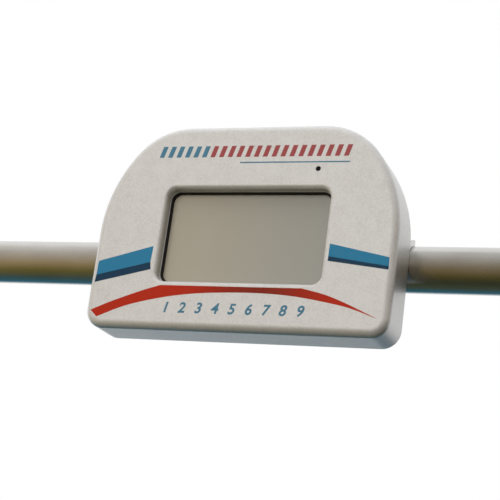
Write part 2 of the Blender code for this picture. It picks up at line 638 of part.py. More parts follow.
def build_front_shell():
    """Face and side walls with a rolled edge, a rim round the window, and the bosses behind the face."""
    rings = []
    for i in range(EDGE_STEPS + 1):
        turn = HALF_PI * i / EDGE_STEPS
        inset = FRONT_EDGE_RADIUS * (1 - math.sin(turn))
        rings.append(outline_ring(inset, FACE_Y + FRONT_EDGE_RADIUS * (1 - math.cos(turn))))
    rings.append(outline_ring(0, SHELL_BACK_Y))
    rings.append(outline_ring(SIDE_WALL, SHELL_BACK_Y))
    rings.append(outline_ring(SIDE_WALL, LEDGE_Y))
    rings.append(outline_ring(INNER_WALL_INSET, LEDGE_Y))
    rings.append(outline_ring(INNER_WALL_INSET, INNER_FACE_Y))
    bm = bmesh.new()
    loft(bm, rings)
    shell = piece("front_shell", bm, shell_finish, console)

    # Rim and bosses start inside the face's thickness, so that they join it
    root_y = FACE_Y + FACE_THICKNESS / 2
    bm = bmesh.new()
    loft(bm, [window_ring(WINDOW_RIM_WALL, root_y), window_ring(WINDOW_RIM_WALL, RIM_BACK_Y)])
    for x, z in cover_screw_places():
        disc(bm, COVER_BOSS_RADIUS, root_y, COVER_BOSS_TOP_Y, SCREW_STEPS, (x, 0, z))
    for x, z in pillar_places():
        disc(bm, BRACKET_BOSS_RADIUS, root_y, BRACKET_Y - TOUCH_GAP, SCREW_STEPS, (x, 0, z))
    sensor_screw_place = (SENSOR_X + SENSOR_SCREW_OUT, 0, SENSOR_Z)
    disc(bm, SENSOR_BOSS_RADIUS, root_y, SENSOR_BOARD_Y - TOUCH_GAP, SCREW_STEPS, sensor_screw_place)
    boolean(shell, helper("shell_bosses", bm, console), "UNION")

    bm = bmesh.new()
    flare = [window_ring(WINDOW_EDGE_RADIUS, FACE_Y - CUT_OVERSHOOT)]
    for i in range(EDGE_STEPS + 1):
        turn = HALF_PI * i / EDGE_STEPS
        grow = WINDOW_EDGE_RADIUS * (1 - math.sin(turn))
        flare.append(window_ring(grow, FACE_Y + WINDOW_EDGE_RADIUS * (1 - math.cos(turn))))
    loft(bm, flare + [window_ring(0, RIM_BACK_Y + CUT_OVERSHOOT)])
    for x, z in cover_screw_places():
        low = COVER_BACK_Y - COVER_SCREW_LENGTH - 2 * TOUCH_GAP
        high = COVER_BOSS_TOP_Y + CUT_OVERSHOOT
        disc(bm, COVER_SCREW_RADIUS + HOLE_CLEARANCE, low, high, SCREW_STEPS, (x, 0, z))
    for x, z in pillar_places():
        low = PILLAR_Y - PILLAR_STUD_LENGTH - TOUCH_GAP
        disc(bm, SMALL_SCREW_RADIUS + HOLE_CLEARANCE, low, BRACKET_Y, SCREW_STEPS, (x, 0, z))
    disc(bm, SENSOR_SCREW_RADIUS + HOLE_CLEARANCE, root_y, SENSOR_BOARD_Y, SCREW_STEPS, sensor_screw_place)
    lens_place = (SENSOR_X, 0, SENSOR_Z)
    y_span = (FACE_Y - CUT_OVERSHOOT, INNER_FACE_Y + CUT_OVERSHOOT)
    disc(bm, SENSOR_HOLE_RADIUS, *y_span, FITTING_STEPS, lens_place)
    boolean(shell, helper("shell_openings", bm, console), "DIFFERENCE")


def build_screen():
    """Gasket, glass and panel, stacked behind the window's rim."""
    bm = bmesh.new()
    back = GASKET_Y + GASKET_THICKNESS
    inner = [window_ring(-GASKET_LIP, y, GASKET_CORNER_RADIUS) for y in (GASKET_Y, back)]
    outer = [window_ring(WINDOW_RIM_WALL + GASKET_OVERLAP, y) for y in (back, GASKET_Y)]
    loft(bm, inner + outer, endless=True)
    piece("window_gasket", bm, gasket_finish, console)

    middle = (0, WINDOW_RISE)
    bm = bmesh.new()
    half_width = WINDOW_WIDTH / 2 + GLASS_MARGIN
    half_height = WINDOW_HEIGHT / 2 + GLASS_MARGIN
    outline = rounded_rectangle(half_width, half_height, GLASS_CORNER_RADIUS, 4, middle)
    along_y(bm, outline, GLASS_Y, GLASS_Y + GLASS_THICKNESS)
    piece("cover_glass", bm, glass_finish, console)

    bm = bmesh.new()
    outline = rounded_rectangle(PANEL_WIDTH / 2, PANEL_HEIGHT / 2, PANEL_CORNER_RADIUS, 2, middle)
    along_y(bm, outline, PANEL_Y, PANEL_Y + PANEL_THICKNESS)
    piece("display_panel", bm, panel_finish, console)


def pillar_places():
    return corners(2 * PILLAR_X, PILLAR_SPACING, WINDOW_RISE)


def build_brackets():
    hole = SMALL_SCREW_RADIUS + HOLE_CLEARANCE
    for name, side in (("display_bracket_left", -1), ("display_bracket_right", 1)):
        bm = bmesh.new()
        x_span = sorted((side * BRACKET_INNER_X, side * (BRACKET_INNER_X + BRACKET_WIDTH)))
        z_span = (WINDOW_RISE - BRACKET_HEIGHT / 2, WINDOW_RISE + BRACKET_HEIGHT / 2)
        block(bm, x_span, (BRACKET_Y, BRACKET_Y + BRACKET_THICKNESS), z_span)
        bracket = piece(name, bm, steel_finish, console)
        bm = bmesh.new()
        for z in (-PILLAR_SPACING / 2, PILLAR_SPACING / 2):
            place = (side * PILLAR_X, BRACKET_Y, WINDOW_RISE + z)
            disc(bm, hole, -CUT_OVERSHOOT, BRACKET_THICKNESS + CUT_OVERSHOOT, SCREW_STEPS, place)
        boolean(bracket, helper(f"{name}_holes", bm, console), "DIFFERENCE")


def build_board_pillars():
    """Hexagonal pillars with a stud in front, which clamps a bracket, and a tapped bore behind."""
    height = BOARD_FRONT_Y - TOUCH_GAP - PILLAR_Y
    bore_depth = height - 2 * TOUCH_GAP
    profile = [(0, -PILLAR_STUD_LENGTH), (SMALL_SCREW_RADIUS, -PILLAR_STUD_LENGTH), (SMALL_SCREW_RADIUS, 0)]
    profile += [(PILLAR_RADIUS, 0), (PILLAR_RADIUS, height), (PILLAR_BORE_RADIUS, height)]
    profile += [(PILLAR_BORE_RADIUS, height - bore_depth), (0, height - bore_depth)]
    bm = bmesh.new()
    turned(bm, profile, 6)
    copies("board_pillar", bm, brass_finish, console, [(x, PILLAR_Y, z) for x, z in pillar_places()])

    seat = BOARD_BACK_Y + TOUCH_GAP
    length = seat - PILLAR_Y - (height - bore_depth) - SMALL_SCREW_TIP_GAP
    head = (SMALL_SCREW_HEAD_RADIUS, SMALL_SCREW_HEAD_HEIGHT)
    pan_screws("board_screw", pillar_places(), seat, SMALL_SCREW_RADIUS, length, *head)


def build_main_board():
    """The board with its soldered chips and plug headers, and the heat spreader and coin cell on it."""
    bm = bmesh.new()
    z_span = (BOARD_BOTTOM_Z, BOARD_BOTTOM_Z + BOARD_HEIGHT)
    block(bm, (-BOARD_WIDTH / 2, BOARD_WIDTH / 2), (BOARD_FRONT_Y, BOARD_BACK_Y), z_span)
    board = piece("main_board", bm, board_finish, console)

    surface = BOARD_FRONT_Y
    root = BOARD_FRONT_Y + BOARD_THICKNESS / 2
    chip_z = WINDOW_RISE + CHIP_RISE
    bm = bmesh.new()
    half = PROCESSOR_SIDE / 2
    x_span = (PROCESSOR_X - half, PROCESSOR_X + half)
    block(bm, x_span, (surface - PROCESSOR_THICKNESS, root), (chip_z - half, chip_z + half))
    for x in MEMORY_X:
        x_span = (x - MEMORY_WIDTH / 2, x + MEMORY_WIDTH / 2)
        z_span = (chip_z - MEMORY_HEIGHT / 2, chip_z + MEMORY_HEIGHT / 2)
        block(bm, x_span, (surface - MEMORY_THICKNESS, root), z_span)
    plug_low = BOARD_BOTTOM_Z + PLUG_EDGE_INSET
    for x in (-OUTER_PLUG_X, INLET_PLUG_X, *SENSOR_PLUG_X, OUTER_PLUG_X):
        x_span = (x - PLUG_WIDTH / 2, x + PLUG_WIDTH / 2)
        block(bm, x_span, (surface - PLUG_THICKNESS, root), (plug_low, plug_low + PLUG_HEIGHT))
    boolean(board, helper("soldered_parts", bm, console), "UNION")

    bm = bmesh.new()
    for x, z in pillar_places():
        hole = SMALL_SCREW_RADIUS + HOLE_CLEARANCE
        disc(bm, hole, BOARD_FRONT_Y - CUT_OVERSHOOT, BOARD_BACK_Y + CUT_OVERSHOOT, SCREW_STEPS, (x, 0, z))
    boolean(board, helper("board_holes", bm, console), "DIFFERENCE")

    half = SPREADER_SIDE / 2
    back = surface - PROCESSOR_THICKNESS - TOUCH_GAP
    bm = bmesh.new()
    x_span = (PROCESSOR_X - half, PROCESSOR_X + half)
    block(bm, x_span, (back - SPREADER_THICKNESS, back), (chip_z - half, chip_z + half))
    piece("heat_spreader", bm, saddle_finish, console)

    bm = bmesh.new()
    back = surface - TOUCH_GAP
    disc(bm, COIN_CELL_RADIUS, back - COIN_CELL_THICKNESS, back, FITTING_STEPS, (COIN_CELL_X, 0, chip_z))
    piece("coin_cell", bm, steel_finish, console)


def build_display_ribbon():
    """A folded film that leaves the panel's back and lands on the board's front."""
    front = PANEL_Y + PANEL_THICKNESS + TOUCH_GAP
    back = BOARD_FRONT_Y - TOUCH_GAP
    top = WINDOW_RISE + RIBBON_RISE
    low = top - RIBBON_DROP
    thick = RIBBON_THICKNESS
    outline = [(front, top), (front, low), (back, low), (back, top), (back - thick, top)]
    outline += [(back - thick, low + thick), (front + thick, low + thick), (front + thick, top)]
    bm = bmesh.new()
    along_x(bm, outline, RIBBON_X - RIBBON_WIDTH / 2, RIBBON_X + RIBBON_WIDTH / 2)
    piece("display_ribbon", bm, ribbon_finish, console)


def build_sensor():
    place = (SENSOR_X, 0, SENSOR_Z)
    lens_radius = SENSOR_HOLE_RADIUS - TOUCH_GAP / 2
    lens_front = FACE_Y + SENSOR_LENS_SINK
    flange_front = INNER_FACE_Y + TOUCH_GAP
    flange_back = flange_front + SENSOR_FLANGE_THICKNESS
    profile = [(0, lens_front), (lens_radius, lens_front), (lens_radius, flange_front)]
    profile += [(SENSOR_FLANGE_RADIUS, flange_front), (SENSOR_FLANGE_RADIUS, flange_back), (0, flange_back)]
    bm = bmesh.new()
    turned(bm, profile, FITTING_STEPS, place)
    piece("sensor_lens", bm, lens_finish, console)

    front = SENSOR_BOARD_Y
    back = front + SENSOR_BOARD_THICKNESS
    low_x = SENSOR_X + SENSOR_BOARD_SHIFT - SENSOR_BOARD_WIDTH / 2
    z_span = (SENSOR_Z - SENSOR_BOARD_HEIGHT / 2, SENSOR_Z + SENSOR_BOARD_HEIGHT / 2)
    bm = bmesh.new()
    block(bm, (low_x, low_x + SENSOR_BOARD_WIDTH), (front, back), z_span)
    board = piece("sensor_board", bm, board_finish, console)
    screw_x = SENSOR_X + SENSOR_SCREW_OUT
    hole = SENSOR_SCREW_RADIUS + HOLE_CLEARANCE
    bm = bmesh.new()
    disc(bm, hole, front - CUT_OVERSHOOT, back + CUT_OVERSHOOT, SCREW_STEPS, (screw_x, 0, SENSOR_Z))
    boolean(board, helper("sensor_board_hole", bm, console), "DIFFERENCE")

    seat = back + TOUCH_GAP
    length = seat - FACE_Y - FACE_THICKNESS / 2 - TOUCH_GAP
    head = (SENSOR_SCREW_HEAD_RADIUS, SENSOR_SCREW_HEAD_HEIGHT)
    pan_screws("sensor_screw", [(screw_x, SENSOR_Z)], seat, SENSOR_SCREW_RADIUS, length, *head, steps=8)


def build_rear_cover():
    bm = bmesh.new()
    cover_inset = SIDE_WALL + COVER_EDGE_GAP
    loft(bm, [outline_ring(cover_inset, COVER_FRONT_Y), outline_ring(cover_inset, COVER_BACK_Y)])
    cover = piece("rear_cover", bm, cover_finish, console)

    bm = bmesh.new()
    for x, z in corners(SADDLE_SCREW_SPACING_X, SADDLE_SCREW_SPACING_Z):
        low = COVER_FRONT_Y - SADDLE_BOSS_HEIGHT
        disc(bm, SADDLE_BOSS_RADIUS, low, COVER_BACK_Y - COVER_THICKNESS / 2, SCREW_STEPS, (x, 0, z))
    boolean(cover, helper("cover_bosses", bm, console), "UNION")

    bm = bmesh.new()
    for x, z in cover_screw_places():
        shank = COVER_SCREW_RADIUS + HOLE_CLEARANCE
        head = COVER_SCREW_HEAD_RADIUS + HOLE_CLEARANCE
        low = -COVER_THICKNESS - CUT_OVERSHOOT
        profile = [(0, low), (shank, low), (shank, shank - head), (head, 0)]
        profile += [(head, CUT_OVERSHOOT), (0, CUT_OVERSHOOT)]
        turned(bm, profile, SCREW_STEPS, (x, COVER_BACK_Y, z))
    for x, z in corners(SADDLE_SCREW_SPACING_X, SADDLE_SCREW_SPACING_Z):
        low = WEB_FRONT_Y - SADDLE_SCREW_REACH - 2 * TOUCH_GAP
        hole = SADDLE_SCREW_RADIUS + HOLE_CLEARANCE
        disc(bm, hole, low, COVER_BACK_Y + CUT_OVERSHOOT, SCREW_STEPS, (x, 0, z))
    through = (COVER_FRONT_Y - CUT_OVERSHOOT, COVER_BACK_Y + CUT_OVERSHOOT)
    for i in range(SPEAKER_SLOT_COUNT):
        x = SPEAKER_X + (i - (SPEAKER_SLOT_COUNT - 1) / 2) * SPEAKER_SLOT_PITCH
        x_span = (x - SPEAKER_SLOT_WIDTH / 2, x + SPEAKER_SLOT_WIDTH / 2)
        z_span = (SPEAKER_Z - SPEAKER_SLOT_LENGTH / 2, SPEAKER_Z + SPEAKER_SLOT_LENGTH / 2)
        block(bm, x_span, through, z_span)
    holes = [(x, SOCKET_THREAD_RADIUS) for x in SENSOR_SOCKET_X]
    holes += [(INLET_X, INLET_THREAD_RADIUS), (BUTTON_X, bezel_radius())]
    for x, radius in holes:
        disc(bm, radius + TOUCH_GAP, *through, FITTING_STEPS, (x, 0, FITTINGS_Z))
    boolean(cover, helper("cover_openings", bm, console), "DIFFERENCE")

    bm = bmesh.new()
    low = LEDGE_Y + TOUCH_GAP
    high = COVER_FRONT_Y - TOUCH_GAP
    rings = [outline_ring(cover_inset, y) for y in (low, high)]
    rings += [outline_ring(cover_inset + SEAL_WIDTH, y) for y in (high, low)]
    loft(bm, rings, endless=True)
    piece("rear_seal", bm, gasket_finish, console)

    shank = COVER_SCREW_RADIUS
    head = COVER_SCREW_HEAD_RADIUS
    recess = head * 0.5
    recess_depth = (head - shank) * 0.6
    profile = [(0, -COVER_SCREW_LENGTH), (shank, -COVER_SCREW_LENGTH), (shank, shank - head), (head, 0)]
    profile += [(recess, 0), (recess, -recess_depth), (0, -recess_depth)]
    bm = bmesh.new()
    turned(bm, profile, SCREW_STEPS)
    seat = COVER_BACK_Y - COVER_SCREW_SINK
    copies("cover_screw", bm, screw_finish, console, [(x, seat, z) for x, z in cover_screw_places()])


def build_speaker():
    """A dished speaker bonded to the inside of the rear cover, over the sound slots."""
    bm = bmesh.new()
    radius = SPEAKER_RADIUS
    depth = SPEAKER_DEPTH
    profile = [(0, -depth), (radius * 0.5, -depth), (radius * 0.9, -depth * 0.3), (radius, -depth * 0.3)]
    profile += [(radius, 0), (radius * 0.86, 0), (radius * 0.4, -depth * 0.5), (0, -depth * 0.5)]
    turned(bm, profile, FITTING_STEPS, (SPEAKER_X, COVER_FRONT_Y - TOUCH_GAP, SPEAKER_Z))
    piece("speaker", bm, chip_finish, console)


def build_socket(name, x, thread, flange, barrel, barrel_rise, bore, bore_depth):
    """A round panel socket: flange and barrel behind the cover, thread and tail inside, open to the rear."""
    seat = TOUCH_GAP
    flange_back = seat + SOCKET_FLANGE_THICKNESS
    mouth = flange_back + barrel_rise
    tail = -COVER_THICKNESS - SOCKET_TAIL
    profile = [(0, tail), (thread, tail), (thread, seat), (flange, seat), (flange, flange_back)]
    profile += [(barrel, flange_back), (barrel, mouth), (bore, mouth)]
    profile += [(bore, mouth - bore_depth), (0, mouth - bore_depth)]
    bm = bmesh.new()
    turned(bm, profile, FITTING_STEPS)
    piece(name, bm, fitting_finish, console, (x, COVER_BACK_Y, FITTINGS_Z))


def build_nut(name, x, thread, sides=6):
    bm = bmesh.new()
    inner = thread + TOUCH_GAP
    back = -COVER_THICKNESS - TOUCH_GAP
    tube(bm, inner / math.cos(math.pi / 12), inner + NUT_WALL, back - NUT_THICKNESS, back, sides * 2)
    piece(name, bm, brass_finish, console, (x, COVER_BACK_Y, FITTINGS_Z))


def bezel_radius():
    return BUTTON_RADIUS + BUTTON_SIDE_GAP + BEZEL_WALL


def build_power_button():
    """The cap slides in a threaded bezel and presses the switch behind it."""
    bore = BUTTON_RADIUS + BUTTON_SIDE_GAP
    thread = bezel_radius()
    seat = TOUCH_GAP
    lip = seat + BEZEL_FLANGE_THICKNESS
    tail = -BEZEL_TAIL
    profile = [(bore, tail), (thread, tail), (thread, seat), (BEZEL_FLANGE_RADIUS, seat)]
    profile += [(BEZEL_FLANGE_RADIUS, lip), (bore, lip)]
    bm = bmesh.new()
    turned(bm, profile, FITTING_STEPS)
    piece("button_bezel", bm, fitting_finish, console, (BUTTON_X, COVER_BACK_Y, FITTINGS_Z))

    # Along the button's axis, with y = 0 on the rear cover's back
    cap_top = lip + BUTTON_RISE
    cap_bottom = cap_top - BUTTON_CAP_DEPTH
    stem_end = cap_bottom - BUTTON_STEM_LENGTH
    profile = [(0, stem_end), (BUTTON_STEM_RADIUS, stem_end), (BUTTON_STEM_RADIUS, cap_bottom)]
    profile += [(BUTTON_RADIUS, cap_bottom), (BUTTON_RADIUS, cap_top - BUTTON_EDGE)]
    profile += [(BUTTON_RADIUS - BUTTON_EDGE, cap_top), (0, cap_top)]
    bm = bmesh.new()
    turned(bm, profile, FITTING_STEPS)
    piece("power_button", bm, button_finish, button_axis)

    switch_back = min(stem_end - BUTTON_TRAVEL, tail) - TOUCH_GAP
    half = SWITCH_SIDE / 2
    bm = bmesh.new()
    block(bm, (-half, half), (switch_back - SWITCH_DEPTH, switch_back), (-half, half))
    piece("button_switch", bm, chip_finish, console, (BUTTON_X, COVER_BACK_Y, FITTINGS_Z))
    return COVER_BACK_Y + switch_back - SWITCH_DEPTH


def build_lead(name, start, end_x):
    """A lead that leaves a fitting straight forwards, swings up and enters its plug straight from below."""
    end = (end_x, BOARD_FRONT_Y - PLUG_THICKNESS / 2, BOARD_BOTTOM_Z + PLUG_EDGE_INSET - TOUCH_GAP)
    bend_start = (start[0], start[1] - LEAD_STRAIGHT, start[2])
    bend_end = (end[0], end[1], end[2] - LEAD_STRAIGHT)
    pull_start = (bend_start[0], bend_start[1] - LEAD_SWING, bend_start[2])
    pull_end = (bend_end[0], bend_end[1], bend_end[2] - LEAD_SWING)
    route = [start]
    for i in range(LEAD_POINTS):
        t = i / (LEAD_POINTS - 1)
        weights = ((1 - t) ** 3, 3 * t * (1 - t) ** 2, 3 * t * t * (1 - t), t**3)
        handles = (bend_start, pull_start, pull_end, bend_end)
        route.append([sum(w * h[axis] for w, h in zip(weights, handles)) for axis in range(3)])
    route.append(end)

    curve = bpy.data.curves.new(name, "CURVE")
    curve.dimensions = "3D"
    curve.bevel_depth = LEAD_RADIUS
    curve.bevel_resolution = 2
    curve.use_fill_caps = True
    curve.materials.append(lead_finish)
    spline = curve.splines.new("POLY")
    spline.points.add(len(route) - 1)
    for point, place in zip(spline.points, route):
        point.co = (*place, 1.0)
    obj = bpy.data.objects.new(name, curve)
    obj.parent = console
    bpy.context.scene.collection.objects.link(obj)


clear_scene()

guide_finish = finish_of("guide", (0.5, 0.5, 0.5), 0.5)
rail_finish = finish_of("satin steel tube", (0.62, 0.61, 0.58), 0.30, 1.0)
nylon_finish = finish_of("black nylon", (0.03, 0.03, 0.035), 0.50)
saddle_finish = finish_of("plain aluminium", (0.60, 0.60, 0.60), 0.38, 1.0)
shell_finish = finish_of("silver paint", (0.55, 0.53, 0.50), 0.42, 0.2)
cover_finish = finish_of("grey powder coat", (0.30, 0.30, 0.30), 0.55)
screw_finish = finish_of("zinc plated steel", (0.55, 0.55, 0.56), 0.35, 1.0)
steel_finish = finish_of("sheet steel", (0.50, 0.50, 0.50), 0.40, 1.0)
brass_finish = finish_of("nickel plated brass", (0.60, 0.56, 0.46), 0.32, 1.0)
gasket_finish = finish_of("black rubber", (0.012, 0.012, 0.012), 0.65)
glass_finish = finish_of("matt cover glass", (0.30, 0.28, 0.25), 0.25)
panel_finish = finish_of("display panel", (0.20, 0.20, 0.21), 0.40)
board_finish = finish_of("green circuit board", (0.02, 0.16, 0.06), 0.45)
chip_finish = finish_of("black moulding", (0.02, 0.02, 0.02), 0.50)
ribbon_finish = finish_of("amber film", (0.45, 0.22, 0.03), 0.40)
lens_finish = finish_of("dark lens", (0.01, 0.01, 0.012), 0.10)
fitting_finish = finish_of("black moulded fitting", (0.03, 0.03, 0.03), 0.40)
button_finish = finish_of("red button", (0.45, 0.03, 0.02), 0.35)
lead_finish = finish_of("black lead", (0.02, 0.02, 0.02), 0.50)

carriage = empty("rail_carriage")
console = empty("console_tilt_axis", carriage)
button_axis = empty("power_button_axis", console, (BUTTON_X, COVER_BACK_Y, FITTINGS_Z))

build_rail()
build_liner("liner_left", -CLAMP_SPACING / 2)
build_liner("liner_right", CLAMP_SPACING / 2)
build_saddle()
build_clamp_cap("clamp_cap_left", -CLAMP_SPACING / 2)
build_clamp_cap("clamp_cap_right", CLAMP_SPACING / 2)
build_clamp_bolts()
build_saddle_screws()
build_front_shell()
build_screen()
build_brackets()
build_board_pillars()
build_main_board()
build_display_ribbon()
build_sensor()
build_rear_cover()
build_speaker()

socket_sizes = (SOCKET_THREAD_RADIUS, SOCKET_FLANGE_RADIUS, SOCKET_BARREL_RADIUS, SOCKET_BARREL_RISE)
for side, socket_x in zip(("left", "right"), SENSOR_SOCKET_X):
    build_socket(f"sensor_socket_{side}", socket_x, *socket_sizes, SOCKET_BORE_RADIUS, SOCKET_BORE_DEPTH)
    build_nut(f"sensor_socket_nut_{side}", socket_x, SOCKET_THREAD_RADIUS)
inlet_sizes = (INLET_THREAD_RADIUS, INLET_FLANGE_RADIUS, INLET_BARREL_RADIUS, INLET_BARREL_RISE)
build_socket("power_inlet", INLET_X, *inlet_sizes, INLET_BORE_RADIUS, INLET_BORE_DEPTH)
build_nut("power_inlet_nut", INLET_X, INLET_THREAD_RADIUS)
switch_front_y = build_power_button()
build_nut("button_nut", BUTTON_X, bezel_radius())

tail_y = COVER_BACK_Y - COVER_THICKNESS - SOCKET_TAIL - TOUCH_GAP
for side, socket_x, plug_x in zip(("left", "right"), SENSOR_SOCKET_X, SENSOR_PLUG_X):
    build_lead(f"sensor_lead_{side}", (socket_x, tail_y, FITTINGS_Z), plug_x)
build_lead("inlet_lead", (INLET_X, tail_y, FITTINGS_Z), INLET_PLUG_X)
build_lead("button_lead", (BUTTON_X, switch_front_y - TOUCH_GAP, FITTINGS_Z), OUTER_PLUG_X)
speaker_front_y = COVER_FRONT_Y - 2 * TOUCH_GAP - SPEAKER_DEPTH
build_lead("speaker_lead", (SPEAKER_X, speaker_front_y, SPEAKER_Z), -OUTER_PLUG_X)
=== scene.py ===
import math

import bmesh
import bpy
from mathutils import Matrix, Vector


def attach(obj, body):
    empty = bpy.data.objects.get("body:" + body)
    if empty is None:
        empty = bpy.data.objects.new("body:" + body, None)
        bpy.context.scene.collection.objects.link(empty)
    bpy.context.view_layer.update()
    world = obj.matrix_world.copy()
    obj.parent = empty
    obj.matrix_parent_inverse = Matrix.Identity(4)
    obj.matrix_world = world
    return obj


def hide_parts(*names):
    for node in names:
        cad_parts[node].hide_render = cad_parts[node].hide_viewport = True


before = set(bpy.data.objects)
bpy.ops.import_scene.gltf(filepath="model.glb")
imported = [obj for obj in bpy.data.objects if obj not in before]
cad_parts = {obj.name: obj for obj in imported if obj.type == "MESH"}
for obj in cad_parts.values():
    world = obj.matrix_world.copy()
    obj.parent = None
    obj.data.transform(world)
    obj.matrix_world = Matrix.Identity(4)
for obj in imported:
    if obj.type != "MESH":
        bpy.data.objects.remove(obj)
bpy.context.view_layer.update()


# Camera: below and to the right of the console, looking up at it, held a little out of level.
# The long lens and the place give the rail's slope and the narrow view of the console's right wall.
def linked(name, data):
    """A new object in the scene."""
    obj = bpy.data.objects.new(name, data)
    bpy.context.scene.collection.objects.link(obj)
    return obj


quarter_turn = math.pi / 2
camera_place = Vector((0.45998, -1.14307, -0.36095))
camera_yaw = 0.395
camera_lift = 0.296
camera_roll = 0.136
camera_data = bpy.data.cameras.new("photo_camera")
camera_data.sensor_width = 36
camera_data.lens = 98.86
camera = linked("photo_camera", camera_data)
camera.matrix_world = (
    Matrix.Translation(camera_place)
    @ Matrix.Rotation(camera_yaw, 4, "Z")
    @ Matrix.Rotation(quarter_turn + camera_lift, 4, "X")
    @ Matrix.Rotation(camera_roll, 4, "Z")
)
bpy.context.scene.camera = camera
bpy.context.scene.view_settings.view_transform = "Standard"


# Room: a white backdrop behind and above, a dim olive floor in front and a blue one behind.
# The backdrop shows to the camera, through glass and in metal. The rest of the room, which is behind
# the camera and darker to the right, only shows in metal, where it makes the rail's dark bands.
def feed(node, inputs):
    """Give inputs of a node, by name or number, each another node's output or a plain value."""
    for socket, value in inputs.items():
        if isinstance(value, bpy.types.NodeSocket):
            node.id_data.links.new(value, node.inputs[socket])
        else:
            node.inputs[socket].default_value = value


def new_node(tree, kind, inputs=None, **settings):
    """A node with its settings made and its inputs fed."""
    node = tree.nodes.new(kind)
    for name, value in settings.items():
        setattr(node, name, value)
    feed(node, inputs or {})
    return node


def ramp_node(value, stops):
    """The colour of a value on a ramp with (position, colour) stops."""
    node = new_node(value.id_data, "ShaderNodeValToRGB", {0: value})
    elements = node.color_ramp.elements
    for end in (0, -1):
        elements[end].position, elements[end].color = stops[end][0], (*stops[end][1], 1)
    for position, colour in stops[1:-1]:
        elements.new(position).color = (*colour, 1)
    return node.outputs[0]


def range_node(value, low, high, to_low=0.0, to_high=1.0, smooth=False):
    """Map a value from one range to another, held at both ends."""
    inputs = {"Value": value, "From Min": low, "From Max": high, "To Min": to_low, "To Max": to_high}
    kind = "SMOOTHSTEP" if smooth else "LINEAR"
    return new_node(value.id_data, "ShaderNodeMapRange", inputs, interpolation_type=kind).outputs["Result"]


def mix_node(factor, first, second):
    """Mix two colours, each a socket or a plain colour, by a factor."""
    pair = [value if isinstance(value, bpy.types.NodeSocket) else (*value, 1) for value in (first, second)]
    inputs = {0: factor, 6: pair[0], 7: pair[1]}
    return new_node(factor.id_data, "ShaderNodeMix", inputs, data_type="RGBA").outputs[2]


def level_mix(factor, first, second):
    """Mix two plain levels, each a socket or a number, by a factor."""
    return new_node(factor.id_data, "ShaderNodeMix", {0: factor, 2: first, 3: second}).outputs[0]


def math_node(operation, *values, clamp=False):
    """One sum with sockets or numbers, the last of them a socket."""
    inputs = dict(enumerate(values))
    node = new_node(values[-1].id_data, "ShaderNodeMath", inputs, operation=operation, use_clamp=clamp)
    return node.outputs[0]


def scaled(colour, level):
    """A colour made lighter or darker by a level."""
    inputs = {0: colour, "Scale": level}
    return new_node(colour.id_data, "ShaderNodeVectorMath", inputs, operation="SCALE").outputs[0]


def parts_of(vector):
    """A vector's X, Y and Z, by name."""
    return new_node(vector.id_data, "ShaderNodeSeparateXYZ", {0: vector}).outputs


world = bpy.data.worlds.new("studio_room")
bpy.context.scene.world = world
world.use_nodes = True
room = world.node_tree
room.nodes.clear()
direction = parts_of(new_node(room, "ShaderNodeTexCoord").outputs["Generated"])
right, back, up = direction["X"], direction["Y"], direction["Z"]
height = range_node(up, -1, 1)
olive_floor = (0.062, 0.074, 0.043)
front_stops = [
    (0.035, olive_floor),
    (0.13, (0.124, 0.104, 0.027)),
    (0.355, (0.297, 0.222, 0.111)),
    (0.50, (0.353, 0.290, 0.200)),
    (0.66, (0.425, 0.375, 0.298)),
    (0.81, (0.510, 0.482, 0.437)),
    (0.965, (0.75, 0.74, 0.72)),
]
back_stops = [
    (0.035, olive_floor),
    (0.115, (0.045, 0.115, 0.135)),
    (0.235, (0.026, 0.138, 0.214)),
    (0.30, (0.045, 0.200, 0.310)),
    (0.355, (0.600, 0.660, 0.710)),
    (0.42, (0.850, 0.890, 0.930)),
    (0.52, (1.0, 1.0, 1.0)),
]
dim_right = range_node(right, -0.55, -0.05, 1.35, 0.30)
even_above = range_node(up, -0.1, 0.5, 0.0, 0.5)
high_up = range_node(up, 0.02, 0.25)
lit_right = math_node("MULTIPLY", range_node(right, -0.12, 0.15), high_up)
front_level = level_mix(lit_right, level_mix(even_above, dim_right, 1.0), 0.95)
front_room = scaled(ramp_node(height, front_stops), front_level)
ray = new_node(room, "ShaderNodeLightPath").outputs
softened = range_node(ray["Is Diffuse Ray"], 0, 1, 1.0, 0.65)
back_level = math_node("MULTIPLY", range_node(right, -0.1, 0.7, 1.0, 0.25), softened)
back_room = scaled(ramp_node(height, back_stops), back_level)
turned_away = math_node("MULTIPLY_ADD", range_node(right, 0.0, 0.6, 0.0, 0.30), -1.0, back)
behind = range_node(turned_away, -0.18, 0.22, smooth=True)
whole_room = mix_node(behind, front_room, back_room)
above_floor = range_node(up, -0.30, -0.16, smooth=True)
mirrored = math_node("MULTIPLY", ray["Is Glossy Ray"], math_node("MULTIPLY", behind, above_floor))
straight_on = math_node("ADD", ray["Is Camera Ray"], ray["Is Transmission Ray"], clamp=True)
shows_backdrop = math_node("ADD", straight_on, mirrored, clamp=True)
room_light = new_node(room, "ShaderNodeBackground", {"Color": whole_room, "Strength": 1.0}).outputs[0]
backdrop = new_node(room, "ShaderNodeBackground", {"Color": (1, 1, 1, 1), "Strength": 1.0}).outputs[0]
surroundings = new_node(room, "ShaderNodeMixShader", {0: shows_backdrop, 1: room_light, 2: backdrop})
new_node(room, "ShaderNodeOutputWorld", {"Surface": surroundings.outputs[0]})


